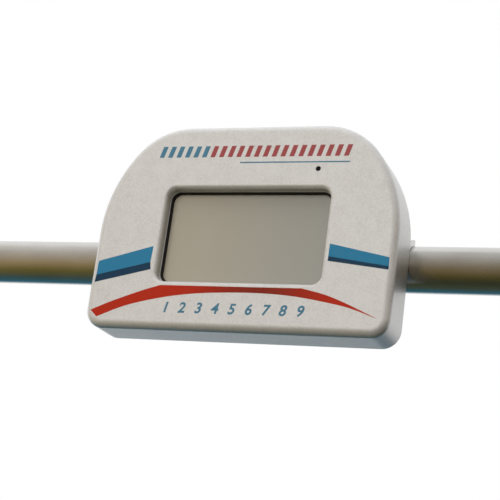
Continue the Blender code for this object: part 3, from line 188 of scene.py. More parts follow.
# Lamps: three large soft boxes, in front, behind and above.
# They are far wider than the console, so that its shadows stay soft, and none of them shows in the metal.
def soft_box(name, place, width, height, watts):
    """A rectangular lamp that faces the console."""
    lamp = bpy.data.lights.new(name, "AREA")
    lamp.shape = "RECTANGLE"
    lamp.size = width
    lamp.size_y = height
    lamp.energy = watts
    box = linked(name, lamp)
    facing = (-Vector(place)).to_track_quat("-Z", "Y")
    box.matrix_world = Matrix.Translation(place) @ facing.to_matrix().to_4x4()
    box.visible_glossy = False
    box.visible_camera = False


soft_box("front_soft_box", (-0.4, -2.5, 0.5), 2.2, 1.8, 53)
soft_box("back_soft_box", (-0.6, 2.2, 0.9), 2.0, 1.6, 9)
soft_box("top_soft_box", (-0.6, -1.1, 2.1), 1.8, 1.6, 26)


# Floor: plain and pale, as far below the tube's axis as a handrail is high.
# It catches the shadow, and runs out into the white backdrop further off.
floor_drop = 0.90
floor_half = 15.0
shadow_reach = 1.2
white_reach = 3.4


def new_finish(name, roughness, metallic=0.0):
    """A material with its shader and the object's own coordinates."""
    material = bpy.data.materials.new(name)
    material.use_nodes = True
    shader = material.node_tree.nodes["Principled BSDF"]
    feed(shader, {"Roughness": roughness, "Metallic": metallic})
    return material, shader, new_node(material.node_tree, "ShaderNodeTexCoord").outputs["Object"]


def noise(vector, scale, detail=3.0, roughness=0.55):
    """A cloudy noise with so many marks a metre."""
    inputs = {"Vector": vector, "Scale": scale, "Detail": detail, "Roughness": roughness}
    return new_node(vector.id_data, "ShaderNodeTexNoise", inputs).outputs["Fac"]


floor_mesh = bpy.data.meshes.new("studio_floor")
floor_signs = ((-1, -1), (1, -1), (1, 1), (-1, 1))
floor_corners = [(x * floor_half, y * floor_half, -floor_drop) for x, y in floor_signs]
floor_mesh.from_pydata(floor_corners, [], [(0, 1, 2, 3)])
studio_floor = linked("studio_floor", floor_mesh)
studio_floor.visible_glossy = False
studio_floor.visible_diffuse = False
floor_finish, shader, own = new_finish("pale_floor", 0.9)
tree = floor_finish.node_tree
dust = noise(own, 40, detail=2.0, roughness=0.5)
feed(shader, {"Base Color": mix_node(dust, (0.84, 0.84, 0.83), (0.88, 0.88, 0.87))})
reach = new_node(tree, "ShaderNodeVectorMath", {0: own}, operation="LENGTH").outputs["Value"]
far_off = range_node(reach, shadow_reach, white_reach, smooth=True)
white = new_node(tree, "ShaderNodeEmission", {"Strength": 1.0}).outputs[0]
run_out = new_node(tree, "ShaderNodeMixShader", {0: far_off, 1: shader.outputs[0], 2: white})
feed(tree.nodes["Material Output"], {"Surface": run_out.outputs[0]})
floor_mesh.materials.append(floor_finish)


# Handrail: standard round handrail tube of satin stainless steel, cut square and deburred.
# Everything else hangs on it. Its long grain comes from belt polishing along the tube.
rail_radius = 0.0212
rail_wall = 0.0026
rail_half = 0.300
rail_deburr = 0.0004


def stretched(coordinates, scale):
    """Coordinates scaled by a different number along each axis."""
    inputs = {"Vector": coordinates, "Scale": scale}
    return new_node(coordinates.id_data, "ShaderNodeMapping", inputs).outputs["Vector"]


def mingled(first, second, share):
    """Two noises added, the first with the given share."""
    return math_node("MULTIPLY_ADD", first, share, range_node(second, 0, 1, 0, 1 - share))


def bump(shader, height, microns):
    """Raise the surface by a height socket, as a relief so many thousandths of a millimetre deep."""
    inputs = {"Distance": microns * 1e-6, "Height": height}
    feed(shader, {"Normal": new_node(height.id_data, "ShaderNodeBump", inputs).outputs["Normal"]})


def worked_finish(name, colour, roughness, metallic, grain, microns, spread, stretch=(1, 1, 1)):
    """A finish whose colour and gloss wander a little, over a fine grain of so many marks a metre."""
    material, shader, own = new_finish(name, roughness, metallic)
    fine = noise(stretched(own, stretch), grain)
    broad = noise(own, grain / 18, detail=2.0)
    wander = mingled(fine, broad, 0.55)
    dark = [channel * (1 - spread) for channel in colour]
    light = [min(1.0, channel * (1 + spread)) for channel in colour]
    shade = ramp_node(wander, [(0.32, dark), (0.68, light)])
    gloss = range_node(wander, 0.3, 0.7, roughness - 0.05, roughness + 0.05)
    feed(shader, {"Base Color": shade, "Roughness": gloss})
    bump(shader, fine, microns)
    return material


def solid(name, bm, finish, sharp=30):
    """Link a bmesh as a named piece, with its faces pointing out and its curved parts shaded smooth."""
    bmesh.ops.recalc_face_normals(bm, faces=bm.faces)
    mesh = bpy.data.meshes.new(name)
    bm.to_mesh(mesh)
    bm.free()
    mesh.shade_smooth()
    mesh.set_sharp_from_angle(angle=math.radians(sharp))
    mesh.materials.append(finish)
    return linked(name, mesh)


def skin(bm, rings, endless=False, caps=True):
    """Skin a stack of loops with equal point counts. Returns the loops' corners."""
    loops = [[bm.verts.new(point) for point in ring] for ring in rings]
    pairs = list(zip(loops, loops[1:]))
    if endless:
        pairs.append((loops[-1], loops[0]))
    for near, far in pairs:
        for i, corner in enumerate(near):
            j = (i + 1) % len(near)
            bm.faces.new((corner, near[j], far[j], far[i]))
    if caps and not endless:
        bm.faces.new(loops[0])
        bm.faces.new(list(reversed(loops[-1])))
    return loops


def around_x(bm, profile, steps, start=0.0, end=math.tau):
    """Turn a closed profile of (x, radius) points about the X axis."""
    full = end - start > math.tau - 1e-6
    rings = []
    for i in range(steps if full else steps + 1):
        angle = start + (end - start) * i / steps
        rings.append([(x, r * math.cos(angle), r * math.sin(angle)) for x, r in profile])
    skin(bm, rings, endless=full)


rail_finish, shader, own = new_finish("satin_rail_steel", 0.24, 1.0)
brushed = noise(stretched(own, (0.02, 1, 1)), 1400, detail=4.0)
smudges = noise(stretched(own, (0.35, 1, 1)), 55, detail=3.0)
steel = ramp_node(smudges, [(0.30, (0.60, 0.585, 0.56)), (0.70, (0.70, 0.69, 0.67))])
feed(shader, {"Base Color": steel, "Roughness": range_node(smudges, 0.3, 0.7, 0.20, 0.29)})
bump(shader, brushed, 12)

bm = bmesh.new()
bore = rail_radius - rail_wall
cut = rail_half - rail_deburr
bore_edge, rim_edge = bore + rail_deburr, rail_radius - rail_deburr
profile = [(-rail_half, bore_edge), (-cut, bore), (cut, bore), (rail_half, bore_edge)]
profile += [(rail_half, rim_edge), (cut, rail_radius), (-cut, rail_radius), (-rail_half, rim_edge)]
around_x(bm, profile, 144)
handrail = solid("handrail", bm, rail_finish)
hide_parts("handrail_tube")
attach(handrail, "rail")


# Bush liners: two split flanged bushes of black nylon, one in each clamp, sprung on over the rail.
# They let the console slide and tilt, and the slit at the back closes as the clamp is tightened.
clamp_x = 0.080
clamps = {"left": -clamp_x, "right": clamp_x}
clamp_width = 0.036
liner_bore = 0.0215
liner_radius = 0.0234
liner_flange = 0.0251
liner_flange_thickness = 0.0015
liner_slit = 0.0030
liner_ease = 0.0004
touch_gap = 0.0003


def eased(profile, radius, steps=3):
    """Round every corner of a closed 2-D profile by the same radius, or less where its sides are short."""
    rounded = []
    for i, corner in enumerate(profile):
        here = Vector(corner)
        before = Vector(profile[i - 1]) - here
        after = Vector(profile[(i + 1) % len(profile)]) - here
        reach = min(radius, before.length * 0.45, after.length * 0.45)
        start = here + before.normalized() * reach
        end = here + after.normalized() * reach
        for k in range(steps + 1):
            t = k / steps
            rounded.append(tuple(start.lerp(here, t).lerp(here.lerp(end, t), t)))
    return rounded


nylon_finish = worked_finish("black_nylon", (0.028, 0.028, 0.030), 0.46, 0.0, 900, 20, 0.25)
liner_half = clamp_width / 2 + touch_gap
rim = liner_half + liner_flange_thickness
half_slit = liner_slit / 2 / liner_radius
for side, middle in clamps.items():
    profile = [(middle - rim, liner_bore), (middle + rim, liner_bore), (middle + rim, liner_flange)]
    profile += [(middle + liner_half, liner_flange), (middle + liner_half, liner_radius)]
    profile += [(middle - liner_half, liner_radius), (middle - liner_half, liner_flange)]
    profile += [(middle - rim, liner_flange)]
    bm = bmesh.new()
    around_x(bm, eased(profile, liner_ease), 110, half_slit, math.tau - half_slit)
    liner = solid(f"bush_liner_{side}", bm, nylon_finish)
    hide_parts(f"liner_{side}")
    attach(liner, "carriage")


# Saddle: one piece of satin aluminium screwed flat on the rear cover. Its top edge curls over the rail
# as a hood, with a rib inside each end that comes down close to the rail. Two square blocks on it are
# the clamps' front halves, bored for the bushes.
rail_to_web = 0.0254
web_thickness = 0.0025
web_half_length = 0.1340
web_half_height = 0.0420
hood_bore = 0.0254
hood_radius = 0.0270
hood_tip = math.radians(96)
hood_root = math.radians(166)
hood_margin = 0.09
hood_half_length = 0.1433
hood_rib_width = 0.0030
hood_rib_bore = 0.0217
console_half_width = 0.1446
side_wall = 0.0030
shell_back_y = -0.0217
clamp_half_height = 0.041
clamp_split = 0.0008
clamp_bore = 0.0237
bolt_z = 0.0345
bolt_hole = 0.0033
bolt_hole_depth = 0.0183
saddle_screw_x = 0.1230
saddle_screw_z = 0.0340
saddle_screw_hole = 0.0023
saddle_ease = 0.0004
overcut = 0.001


def arc(radius, start, end, steps, centre=(0, 0)):
    """Points (across, up) on an arc, both ends included."""
    angles = [start + (end - start) * i / steps for i in range(steps + 1)]
    return [(centre[0] + radius * math.cos(a), centre[1] + radius * math.sin(a)) for a in angles]


def along_x(bm, outline, low, high):
    """Extrude a (y, z) outline along X."""
    skin(bm, [[(x, y, z) for y, z in outline] for x in (low, high)])


def along_y(bm, outline, low, high):
    """Extrude an (x, z) outline along Y."""
    skin(bm, [[(x, y, z) for x, z in outline] for y in (low, high)])


def block(bm, x_span, y_span, z_span):
    """A box between two numbers along each axis."""
    (x0, x1), (z0, z1) = sorted(x_span), sorted(z_span)
    along_y(bm, [(x0, z0), (x1, z0), (x1, z1), (x0, z1)], *sorted(y_span))


def rod(bm, radius, y_low, y_high, place, steps=32):
    """A round cutter or pin along Y at (x, z)."""
    circle = arc(radius, 0, math.tau, steps, place)[:-1]
    along_y(bm, circle, y_low, y_high)


def corners(x, z):
    """The four (x, z) places at plus and minus x and z."""
    return [(side * x, up * z) for side in (-1, 1) for up in (-1, 1)]


def modified(obj, kind, inputs=None, **settings):
    """Put a modifier on a piece and turn the result into its plain mesh at once.

    The inputs of a Geometry Nodes tree are given by their names, and set through their identifiers.
    """
    modifier = obj.modifiers.new(kind, kind)
    for name, value in settings.items():
        setattr(modifier, name, value)
    if inputs:
        for item in modifier.node_group.interface.items_tree:
            if item.item_type == "SOCKET" and item.in_out == "INPUT" and item.name in inputs:
                modifier[item.identifier] = inputs[item.name]
    graph = bpy.context.evaluated_depsgraph_get()
    final = obj.evaluated_get(graph)
    mesh = bpy.data.meshes.new_from_object(final, preserve_all_data_layers=True, depsgraph=graph)
    obj.modifiers.clear()
    obj.data = mesh


def combine(obj, bm, operation):
    """Join a bmesh to a piece, or cut it from the piece."""
    other = solid("cutter", bm, obj.data.materials[0])
    modified(obj, "BOOLEAN", operation=operation, solver="EXACT", use_self=True, object=other)
    bpy.data.objects.remove(other)


def taken(obj):
    """A piece's mesh as a bmesh again. The piece itself goes."""
    bm = bmesh.new()
    bm.from_mesh(obj.data)
    bpy.data.objects.remove(obj)
    return bm


def break_edges(obj, width):
    """Give a piece's sharp edges the small round that a real one has."""
    modified(obj, "BEVEL", width=width, segments=3, limit_method="ANGLE", angle_limit=math.radians(40),
             harden_normals=True, use_clamp_overlap=True, miter_outer="MITER_ARC")


saddle_colour = (0.62, 0.62, 0.61)
saddle_finish = worked_finish("satin_aluminium", saddle_colour, 0.34, 1.0, 1100, 8, 0.04, (0.06, 1, 1))
bm = bmesh.new()
web_back = -rail_to_web
web_front = web_back - web_thickness
block(bm, (-web_half_length, web_half_length), (web_front, web_back), (-web_half_height, web_half_height))
saddle = solid("rail_saddle", bm, saddle_finish)
bm = bmesh.new()
outline = arc(hood_radius, hood_tip, hood_root, 40) + arc(hood_rib_bore, hood_root, hood_tip, 40)
along_x(bm, outline, -hood_half_length, hood_half_length)
hood = solid("hood", bm, saddle_finish)
bm = bmesh.new()
first, last = hood_tip - hood_margin, hood_root + hood_margin
outline = arc(hood_bore, first, last, 40) + arc(hood_rib_bore - overcut, last, first, 40)
along_x(bm, outline, hood_rib_width - hood_half_length, hood_half_length - hood_rib_width)
combine(hood, bm, "DIFFERENCE")
combine(saddle, taken(hood), "UNION")
bm = bmesh.new()
block_front = web_back - web_thickness / 2
for middle in clamps.values():
    x_span = (middle - clamp_width / 2, middle + clamp_width / 2)
    block(bm, x_span, (block_front, -clamp_split / 2), (-clamp_half_height, clamp_half_height))
combine(saddle, bm, "UNION")
bm = bmesh.new()
for middle in clamps.values():
    circle = arc(clamp_bore, 0, math.tau, 96)[:-1]
    along_x(bm, circle, middle - liner_half, middle + liner_half)
combine(saddle, bm, "DIFFERENCE")
bm = bmesh.new()
for place in corners(clamp_x, bolt_z):
    rod(bm, bolt_hole, -bolt_hole_depth, overcut, place)
for place in corners(saddle_screw_x, saddle_screw_z):
    rod(bm, saddle_screw_hole, web_front - overcut, web_back + overcut, place)
wall_inner = console_half_width - side_wall - 2 * touch_gap
for side in (-1, 1):
    x_span = (side * wall_inner, side * (console_half_width + overcut))
    y_span = (-hood_radius - overcut, shell_back_y + touch_gap)
    block(bm, x_span, y_span, (-overcut, hood_radius + overcut))
combine(saddle, bm, "DIFFERENCE")
break_edges(saddle, saddle_ease)
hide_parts("saddle")
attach(saddle, "console")


# Clamp caps: the loose rear halves of the two clamps, of the same aluminium, round over the bush.
# Two bolts through each cap's lugs draw it on to the saddle.
cap_lug_back = 0.0110
cap_radius = 0.0307
cap_ease = 0.0006
cap_front = clamp_split / 2
shoulder = math.asin(cap_lug_back / cap_radius)
mouth = math.asin(cap_front / clamp_bore)
outline = [(cap_front, -clamp_half_height), (cap_lug_back, -clamp_half_height)]
outline += arc(cap_radius, shoulder - quarter_turn, quarter_turn - shoulder, 60)
outline += [(cap_lug_back, clamp_half_height), (cap_front, clamp_half_height)]
outline += arc(clamp_bore, quarter_turn - mouth, mouth - quarter_turn, 72)
for side, middle in clamps.items():
    bm = bmesh.new()
    along_x(bm, outline, middle - clamp_width / 2, middle + clamp_width / 2)
    cap = solid(f"clamp_cap_cast_{side}", bm, saddle_finish)
    bm = bmesh.new()
    for z in (-bolt_z, bolt_z):
        rod(bm, bolt_hole, 0, cap_lug_back + overcut, (middle, z))
    combine(cap, bm, "DIFFERENCE")
    break_edges(cap, cap_ease)
    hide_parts(f"clamp_cap_{side}")
    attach(cap, "console")


# Clamp bolts: four zinc plated socket head bolts through the caps' lugs into the saddle's blocks.
# One bolt is turned on its axis, and the tree below sets a copy at each place, each turned differently.
bolt_seat_y = 0.0113
bolt_reach = 0.0180
bolt_radius = 0.0030
bolt_head_radius = 0.0050
bolt_head_height = 0.0060
bolt_key = 0.0025
bolt_end_gap = 0.0001


def turned(bm, profile, steps, place=(0, 0, 0)):
    """Turn a profile of (radius, y) points about the line through place along Y."""
    px, py, pz = place
    rings = []
    for radius, y in profile:
        if radius == 0:
            rings.append([bm.verts.new((px, py + y, pz))])
            continue
        circle = arc(radius, 0, math.tau, steps, (px, pz))[:-1]
        rings.append([bm.verts.new((x, py + y, z)) for x, z in circle])
    if profile[0][0] > 0:
        rings.append(rings[0])
    for near, far in zip(rings, rings[1:]):
        for i in range(steps):
            j = (i + 1) % steps
            face = (near[i % len(near)], near[j % len(near)], far[j % len(far)], far[i % len(far)])
            bm.faces.new(list(dict.fromkeys(face)))


def lathe(name, profile, steps, finish, place=(0, 0, 0), sharp=30):
    """A piece turned from a profile of (radius, y) points about the line through place along Y."""
    bm = bmesh.new()
    turned(bm, profile, steps, place)
    return solid(name, bm, finish, sharp)


def group_with(name, sockets):
    """A Geometry Nodes tree, and its outputs for what it is given: a mesh, these inputs and a finish."""
    tree = bpy.data.node_groups.new(name, "GeometryNodeTree")
    for title, kind in {"Geometry": "Geometry", **sockets, "Finish": "Material"}.items():
        tree.interface.new_socket(title, in_out="INPUT", socket_type=f"NodeSocket{kind}")
    tree.interface.new_socket("Geometry", in_out="OUTPUT", socket_type="NodeSocketGeometry")
    return tree, new_node(tree, "NodeGroupInput").outputs


def hand_out(tree, given, last):
    """End a tree: make the last node's copies real, give them the finish and put them out."""
    real = new_node(tree, "GeometryNodeRealizeInstances", {0: last.outputs[0]}).outputs[0]
    coloured = new_node(tree, "GeometryNodeSetMaterial", {"Geometry": real, "Material": given["Finish"]})
    new_node(tree, "NodeGroupOutput", {0: coloured.outputs[0]})
    return tree


def fastener_tree():
    """Sets a copy of one fastener at each point of the mesh, each turned by its own angle about Y."""
    sockets = {"Fastener": "Object", "Largest turn": "Float", "Seed": "Int"}
    tree, given = group_with("fasteners_at_places", sockets)
    shape = new_node(tree, "GeometryNodeObjectInfo", {"Object": given["Fastener"]}).outputs["Geometry"]
    angle = new_node(tree, "FunctionNodeRandomValue", {3: given["Largest turn"], "Seed": given["Seed"]})
    turn = new_node(tree, "ShaderNodeCombineXYZ", {"Y": angle.outputs[1]}).outputs[0]
    copies = {"Points": given["Geometry"], "Instance": shape, "Rotation": turn}
    return hand_out(tree, given, new_node(tree, "GeometryNodeInstanceOnPoints", copies))


def set_of(name, template, places, finish, largest_turn=0.0, seed=1):
    """One piece that holds a copy of the template at each (x, y, z) place."""
    mesh = bpy.data.meshes.new(name)
    mesh.from_pydata(places, [], [])
    obj = linked(name, mesh)
    inputs = {"Fastener": template, "Largest turn": largest_turn, "Seed": seed, "Finish": finish}
    modified(obj, "NODES", inputs, node_group=place_fasteners)
    bpy.data.objects.remove(template)
    return obj


def soft_corner(x, y, across=-1, along=-1, size=0.0005):
    """Three points that round a profile's corner at (x, y), from its side along Y to its side across."""
    near = 0.3 * size
    return [(x, y + along * size), (x + across * near, y + along * near), (x + across * size, y)]


def chamfer(x, y, across, along=-1, size=0.0003):
    """Two points that cut a profile's corner at (x, y), from its side across to its side along Y."""
    return [(x + across * size, y), (x, y + along * size)]


def socket_screw(shank, reach, head, height, key):
    """A socket head bolt with its seat at y = 0 and its head towards +Y."""
    profile = [(0, -reach), (shank * 0.8, -reach), (shank, -reach + shank * 0.3), (shank, 0)]
    profile += chamfer(head, 0, -1, 1) + soft_corner(head, height) + [(key * 1.25, height), (0, height)]
    bolt = lathe("bolt", profile, 48, zinc_finish)
    bm = bmesh.new()
    hexagon = arc(key / math.cos(math.pi / 6), 0, math.tau, 6)[:-1]
    along_y(bm, hexagon, height * 0.45, height + overcut)
    combine(bolt, bm, "DIFFERENCE")
    return bolt


zinc_finish = worked_finish("zinc_plating", (0.60, 0.60, 0.61), 0.30, 1.0, 1600, 6, 0.06)
place_fasteners = fastener_tree()
bolt_length = bolt_seat_y + bolt_reach - bolt_end_gap
bolt = socket_screw(bolt_radius, bolt_length, bolt_head_radius, bolt_head_height, bolt_key)
bolt_places = [(x, bolt_seat_y, z) for x, z in corners(clamp_x, bolt_z)]
clamp_bolts = set_of("clamp_bolt_set", bolt, bolt_places, zinc_finish, largest_turn=math.pi, seed=3)
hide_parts(*[f"clamp_bolt_{i}" for i in (1, 2, 3, 4)])
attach(clamp_bolts, "console")


# Saddle screws: four pan head screws with a cross recess, through the web into bosses in the cover.
# They carry the console's whole weight, so they are the cover's largest screws.
saddle_seat_y = -0.0251
saddle_screw_radius = 0.0020
saddle_screw_head = 0.0038
saddle_screw_rise = 0.0024
saddle_screw_reach = 0.0090


def cross_screw(shank, reach, head, rise):
    """A cross recess screw with its seat at y = 0: domed, or without a rise flush and tapered."""
    profile = [(0, -reach), (shank * 0.7, -reach), (shank, -reach + shank * 0.5)]
    if rise:
        edge = rise * 0.35
        profile += [(shank, 0), (head - 0.0002, 0), (head, 0.0002), (head, edge)]
        for a in (0.25 * quarter_turn, 0.5 * quarter_turn, 0.75 * quarter_turn):
            profile.append((head * math.cos(a), edge + rise * 0.65 * math.sin(a)))
        profile.append((0, rise))
    else:
        profile += [(shank, shank - head), (head, -0.0001), (head - 0.0001, 0), (0, 0)]
    screw = lathe("screw", profile, 40, zinc_finish)
    bm = bmesh.new()
    arm = head * 0.60
    thick = head * 0.13
    depth = min(head * 0.5, reach * 0.3)
    for long, short in ((arm, thick), (thick, arm)):
        cross = [(-long, -short), (long, -short), (long, short), (-long, short)]
        floor = [(x * 0.5, rise - depth, z * 0.5) for x, z in cross]
        skin(bm, [floor, [(x, rise + overcut, z) for x, z in cross]])
    combine(screw, bm, "DIFFERENCE")
    return screw


screw = cross_screw(saddle_screw_radius, saddle_screw_reach, saddle_screw_head, saddle_screw_rise)
screw_places = [(x, saddle_seat_y, z) for x, z in corners(saddle_screw_x, saddle_screw_z)]
saddle_screws = set_of("saddle_screw_set", screw, screw_places, zinc_finish, largest_turn=math.pi, seed=8)
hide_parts(*[f"saddle_screw_{i}" for i in (1, 2, 3, 4)])
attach(saddle_screws, "console")


# Front shell: one moulded or cast piece, painted satin silver: a flat face, walls drawn back from a
# rolled front edge, and a sunk window whose edge rolls inwards the same way.
face_y = -0.0648
bottom_z = -0.0797
top_z = 0.1163
bottom_corner = 0.0169
side_arc = 0.1260
side_sweep = 0.676
top_arc = 0.0659
front_roll = 0.0071
face_thickness = 0.0032
ledge_y = -0.0325
ledge_width = 0.0020
window_z = 0.0100
window_half_width = 0.0793
window_half_height = 0.0447
window_corner = 0.0090
window_roll = 0.0034
rim_wall = 0.0023
rim_back_y = -0.0544
lens_x = 0.0651
lens_z = 0.0727
lens_hole = 0.0024
bead = 0.0005
arc_step = side_arc - top_arc
side_centre = (console_half_width - side_arc, top_z - top_arc - arc_step * math.sin(side_sweep))
top_centre = (side_centre[0] + arc_step * math.cos(side_sweep), top_z - top_arc)
low_centre = (console_half_width - bottom_corner, bottom_z + bottom_corner)


def console_outline(inset):
    """The console's (x, z) outline in front view, moved in by inset, from the lower right round the top."""
    right = arc(bottom_corner - inset, -quarter_turn, 0, 14, low_centre)
    right += arc(side_arc - inset, 0, side_sweep, 24, side_centre)
    right += arc(top_arc - inset, side_sweep, quarter_turn, 24, top_centre)[1:]
    return right + [(-x, z) for x, z in reversed(right)]


def window_outline(grow, corner=window_corner):
    """The window's (x, z) rounded rectangle, moved out by grow."""
    radius = corner + max(grow, 0)
    points = []
    for quarter, (side, up) in enumerate(((1, -1), (1, 1), (-1, 1), (-1, -1))):
        x = side * (window_half_width + grow - radius)
        z = window_z + up * (window_half_height + grow - radius)
        start = (quarter - 1) * quarter_turn
        points += arc(radius, start, start + quarter_turn, 12, (x, z))
    return points


def lens_outline(grow):
    """The (x, z) circle of the lens's hole, moved out by grow."""
    return arc(lens_hole + grow, 0, math.tau, 40, (lens_x, lens_z))[:-1]


def drawn(outline, levels):
    """The loops that an outline makes at (offset, y) levels."""
    return [[(x, y, z) for x, z in outline(offset)] for offset, y in levels]


def fill_flat(bm, loops):
    """Fill the flat between an outer loop of corners and the holes inside it."""
    edges = []
    for loop in loops:
        for i, corner in enumerate(loop):
            edges.append(bm.edges.get((corner, loop[(i + 1) % len(loop)])))
    bmesh.ops.triangle_fill(bm, use_beauty=True, use_dissolve=False, edges=edges)


def roll(radius, steps, y):
    """(distance in, depth) pairs from a face round a quarter circle on to a wall."""
    turns = [quarter_turn * i / steps for i in range(steps + 1)]
    return [(radius * (1 - math.sin(a)), y + radius * (1 - math.cos(a))) for a in turns]


support = 0.0005
bm = bmesh.new()
face_back = face_y + face_thickness
wall = [(front_roll + support, face_y)] + roll(front_roll, 16, face_y)
wall += [(0, face_y + front_roll + support), (0, shell_back_y - 0.0010)]
wall += soft_corner(0, shell_back_y, 1, size=0.0006) + chamfer(side_wall, shell_back_y, -1)
wall += [(side_wall, ledge_y), (side_wall + ledge_width, ledge_y), (side_wall + ledge_width, face_back)]
outer = skin(bm, drawn(console_outline, wall), caps=False)
edge = [(window_roll + support, face_y)] + roll(window_roll, 12, face_y)
edge += [(0, face_y + window_roll + support), (0, rim_back_y - bead - 0.0002)]
bead_section = ((0.3, 1.0), (0.8, 0.8), (1.0, 0.4), (0.8, 0.0))
edge += [(-bead * out, rim_back_y - bead * ahead) for out, ahead in bead_section]
edge += chamfer(rim_wall, rim_back_y, -1) + [(rim_wall, face_back)]
inner = skin(bm, drawn(window_outline, edge), caps=False)
hole = [(support, face_y), (0.00012, face_y), (0.00004, face_y + 0.00004), (0, face_y + 0.00012)]
hole += [(0, face_back)]
eye = skin(bm, drawn(lens_outline, hole), caps=False)
fill_flat(bm, [outer[0], inner[0], eye[0]])
fill_flat(bm, [outer[-1], inner[-1], eye[-1]])

silver_finish, shader, own = new_finish("satin_silver_paint", 0.40, 0.54)
orange_peel = noise(own, 420, detail=2.0)
flake = noise(own, 560, detail=3.0)
clouds = noise(own, 75, detail=5.0, roughness=0.65)
scatter = noise(own, 190, detail=3.0)
specks = new_node(own.id_data, "ShaderNodeTexVoronoi", {"Vector": own, "Scale": 620}).outputs["Distance"]
silver = ramp_node(clouds, [(0.32, (0.590, 0.591, 0.591)), (0.68, (0.658, 0.657, 0.667))])
flaked = mix_node(range_node(flake, 0.38, 0.62, 0.0, 0.60), silver, (0.73, 0.73, 0.73))
speck_core = range_node(specks, 0.08, 0.28, 1.0, 0.0, smooth=True)
speck_mask = math_node("MULTIPLY", speck_core, range_node(scatter, 0.46, 0.66, 0.0, 0.55))
speckled = mix_node(speck_mask, flaked, (0.84, 0.835, 0.82))
feed(shader, {"Base Color": speckled, "Roughness": range_node(clouds, 0.3, 0.7, 0.37, 0.43)})
feed(shader, {"Coat Weight": 0.35, "Coat Roughness": 0.16})
bump(shader, orange_peel, 30)
front_shell = solid("console_shell", bm, silver_finish, sharp=35)
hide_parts("front_shell")
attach(front_shell, "console")


# Screen: a matt cover glass behind a black rubber gasket, both held behind the window's rim; its grey is
# partly the glass's own and partly painted reflection.
# The gasket's lip shows as a thin black line inside the window.
gasket_front_y = -0.0541
gasket_back_y = -0.0517
gasket_lip = 0.0022
gasket_overlap = 0.0012
gasket_corner = 0.0080
glass_front_y = -0.0514
glass_thickness = 0.0018
glass_margin = 0.0030
glass_corner = -0.0010
rubber_finish = worked_finish("black_rubber", (0.004, 0.004, 0.004), 0.70, 0.0, 1400, 20, 0.3)
bm = bmesh.new()
lip = soft_corner(-gasket_lip, gasket_front_y, 1, 1)[::-1] + [(-gasket_lip, gasket_back_y)]
outside = [(rim_wall + gasket_overlap, gasket_back_y), (rim_wall + gasket_overlap, gasket_front_y)]
rings = drawn(lambda grow: window_outline(grow, gasket_corner), lip) + drawn(window_outline, outside)
skin(bm, rings, endless=True)
gasket = solid("screen_gasket", bm, rubber_finish, sharp=50)
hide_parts("window_gasket")
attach(gasket, "console")

screen_finish, shader, own = new_finish("matt_screen", 0.34)
# Painted reflection: the grey is painted lighter and warmer towards the left of the screen and greyer
# towards the right.
across = range_node(parts_of(own)["X"], -0.08, 0.08)
grey = ramp_node(across, [(0.0, (0.300, 0.268, 0.205)), (1.0, (0.222, 0.222, 0.202))])
frosting = noise(own, 3200, detail=2.0)
frost = range_node(frosting, 0.3, 0.7, 0.0, 0.12)
feed(shader, {"Base Color": mix_node(frost, grey, (0.33, 0.31, 0.27))})
bump(shader, frosting, 4)
bm = bmesh.new()
glass_back = glass_front_y + glass_thickness
levels = chamfer(glass_margin, glass_front_y, -1, 1) + chamfer(glass_margin, glass_back, -1)[::-1]
skin(bm, drawn(lambda grow: window_outline(grow, glass_corner), levels))
screen = solid("screen_glass_sheet", bm, screen_finish)
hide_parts("cover_glass")
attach(screen, "console")


# Light sensor's lens: a small clear stem moulded in dark plastic, pressed into its hole from behind.
# From the front it shows as a black dot above the window.
lens_radius = 0.00225
lens_flange = 0.0038
lens_flange_thickness = 0.0012
lens_dome = 0.0007
lens_sunk = 0.0004
lens_finish = worked_finish("dark_lens", (0.004, 0.004, 0.005), 0.12, 0.0, 900, 2, 0.3)
feed(lens_finish.node_tree.nodes["Principled BSDF"], {"Specular IOR Level": 0.2})
lens_front = face_y + lens_sunk
flange_front = face_back + touch_gap
profile = [(0, lens_front)]
profile += [(lens_radius * s, lens_front + lens_dome * s**3) for s in (0.3, 0.6, 0.85, 1.0)]
profile += [(lens_radius, flange_front), (lens_flange, flange_front)]
profile += [(lens_flange, flange_front + lens_flange_thickness), (0, flange_front + lens_flange_thickness)]
lens = lathe("light_sensor_lens", profile, 40, lens_finish, (lens_x, 0, lens_z), sharp=50)
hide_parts("sensor_lens")
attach(lens, "console")


# Printed stripes: coloured inks screen printed on the silver face before the window was fitted.
# Two blue stripes run out from the window to the sides, and a long red one tapers away under it.
ink_height = 0.00006
ink_depth = 0.00003
print_level = 0.0103
ink_fade = 0.08


def ink(name, colour, shade=None, shade_x=0.0):
    """A printed ink, thin in places. It may be shaded: darkest at shade_x, and plain far from it."""
    material, shader, own = new_finish(name, 0.42)
    grain = noise(own, 1500, detail=3.0)
    patches = noise(own, 120, detail=2.0)
    full = colour
    if shade:
        x = parts_of(own)["X"]
        before = range_node(x, shade_x - ink_fade, shade_x, 1.0, 0.0, smooth=True)
        after = range_node(x, shade_x, shade_x + ink_fade, 0.0, 1.0, smooth=True)
        full = mix_node(math_node("ADD", before, after, clamp=True), shade, colour)
    thinness = range_node(mingled(grain, patches, 0.5), 0.35, 0.75, 0.0, 0.014)
    worn = mix_node(thinness, full, (0.50, 0.50, 0.50))
    gloss = range_node(grain, 0.3, 0.7, 0.37, 0.47)
    feed(shader, {"Base Color": worn, "Roughness": gloss, "Specular IOR Level": 0.14})
    bump(shader, grain, 4)
    return material


def distance_inside(x, z):
    """How far a point of the face lies inside the console's outline."""
    x = abs(x)
    if z < low_centre[1] and x > low_centre[0]:
        return bottom_corner - (Vector((x, z)) - Vector(low_centre)).length
    if z > side_centre[1]:
        return side_arc - (Vector((x, z)) - Vector(side_centre)).length
    return min(console_half_width - x, z - bottom_z)


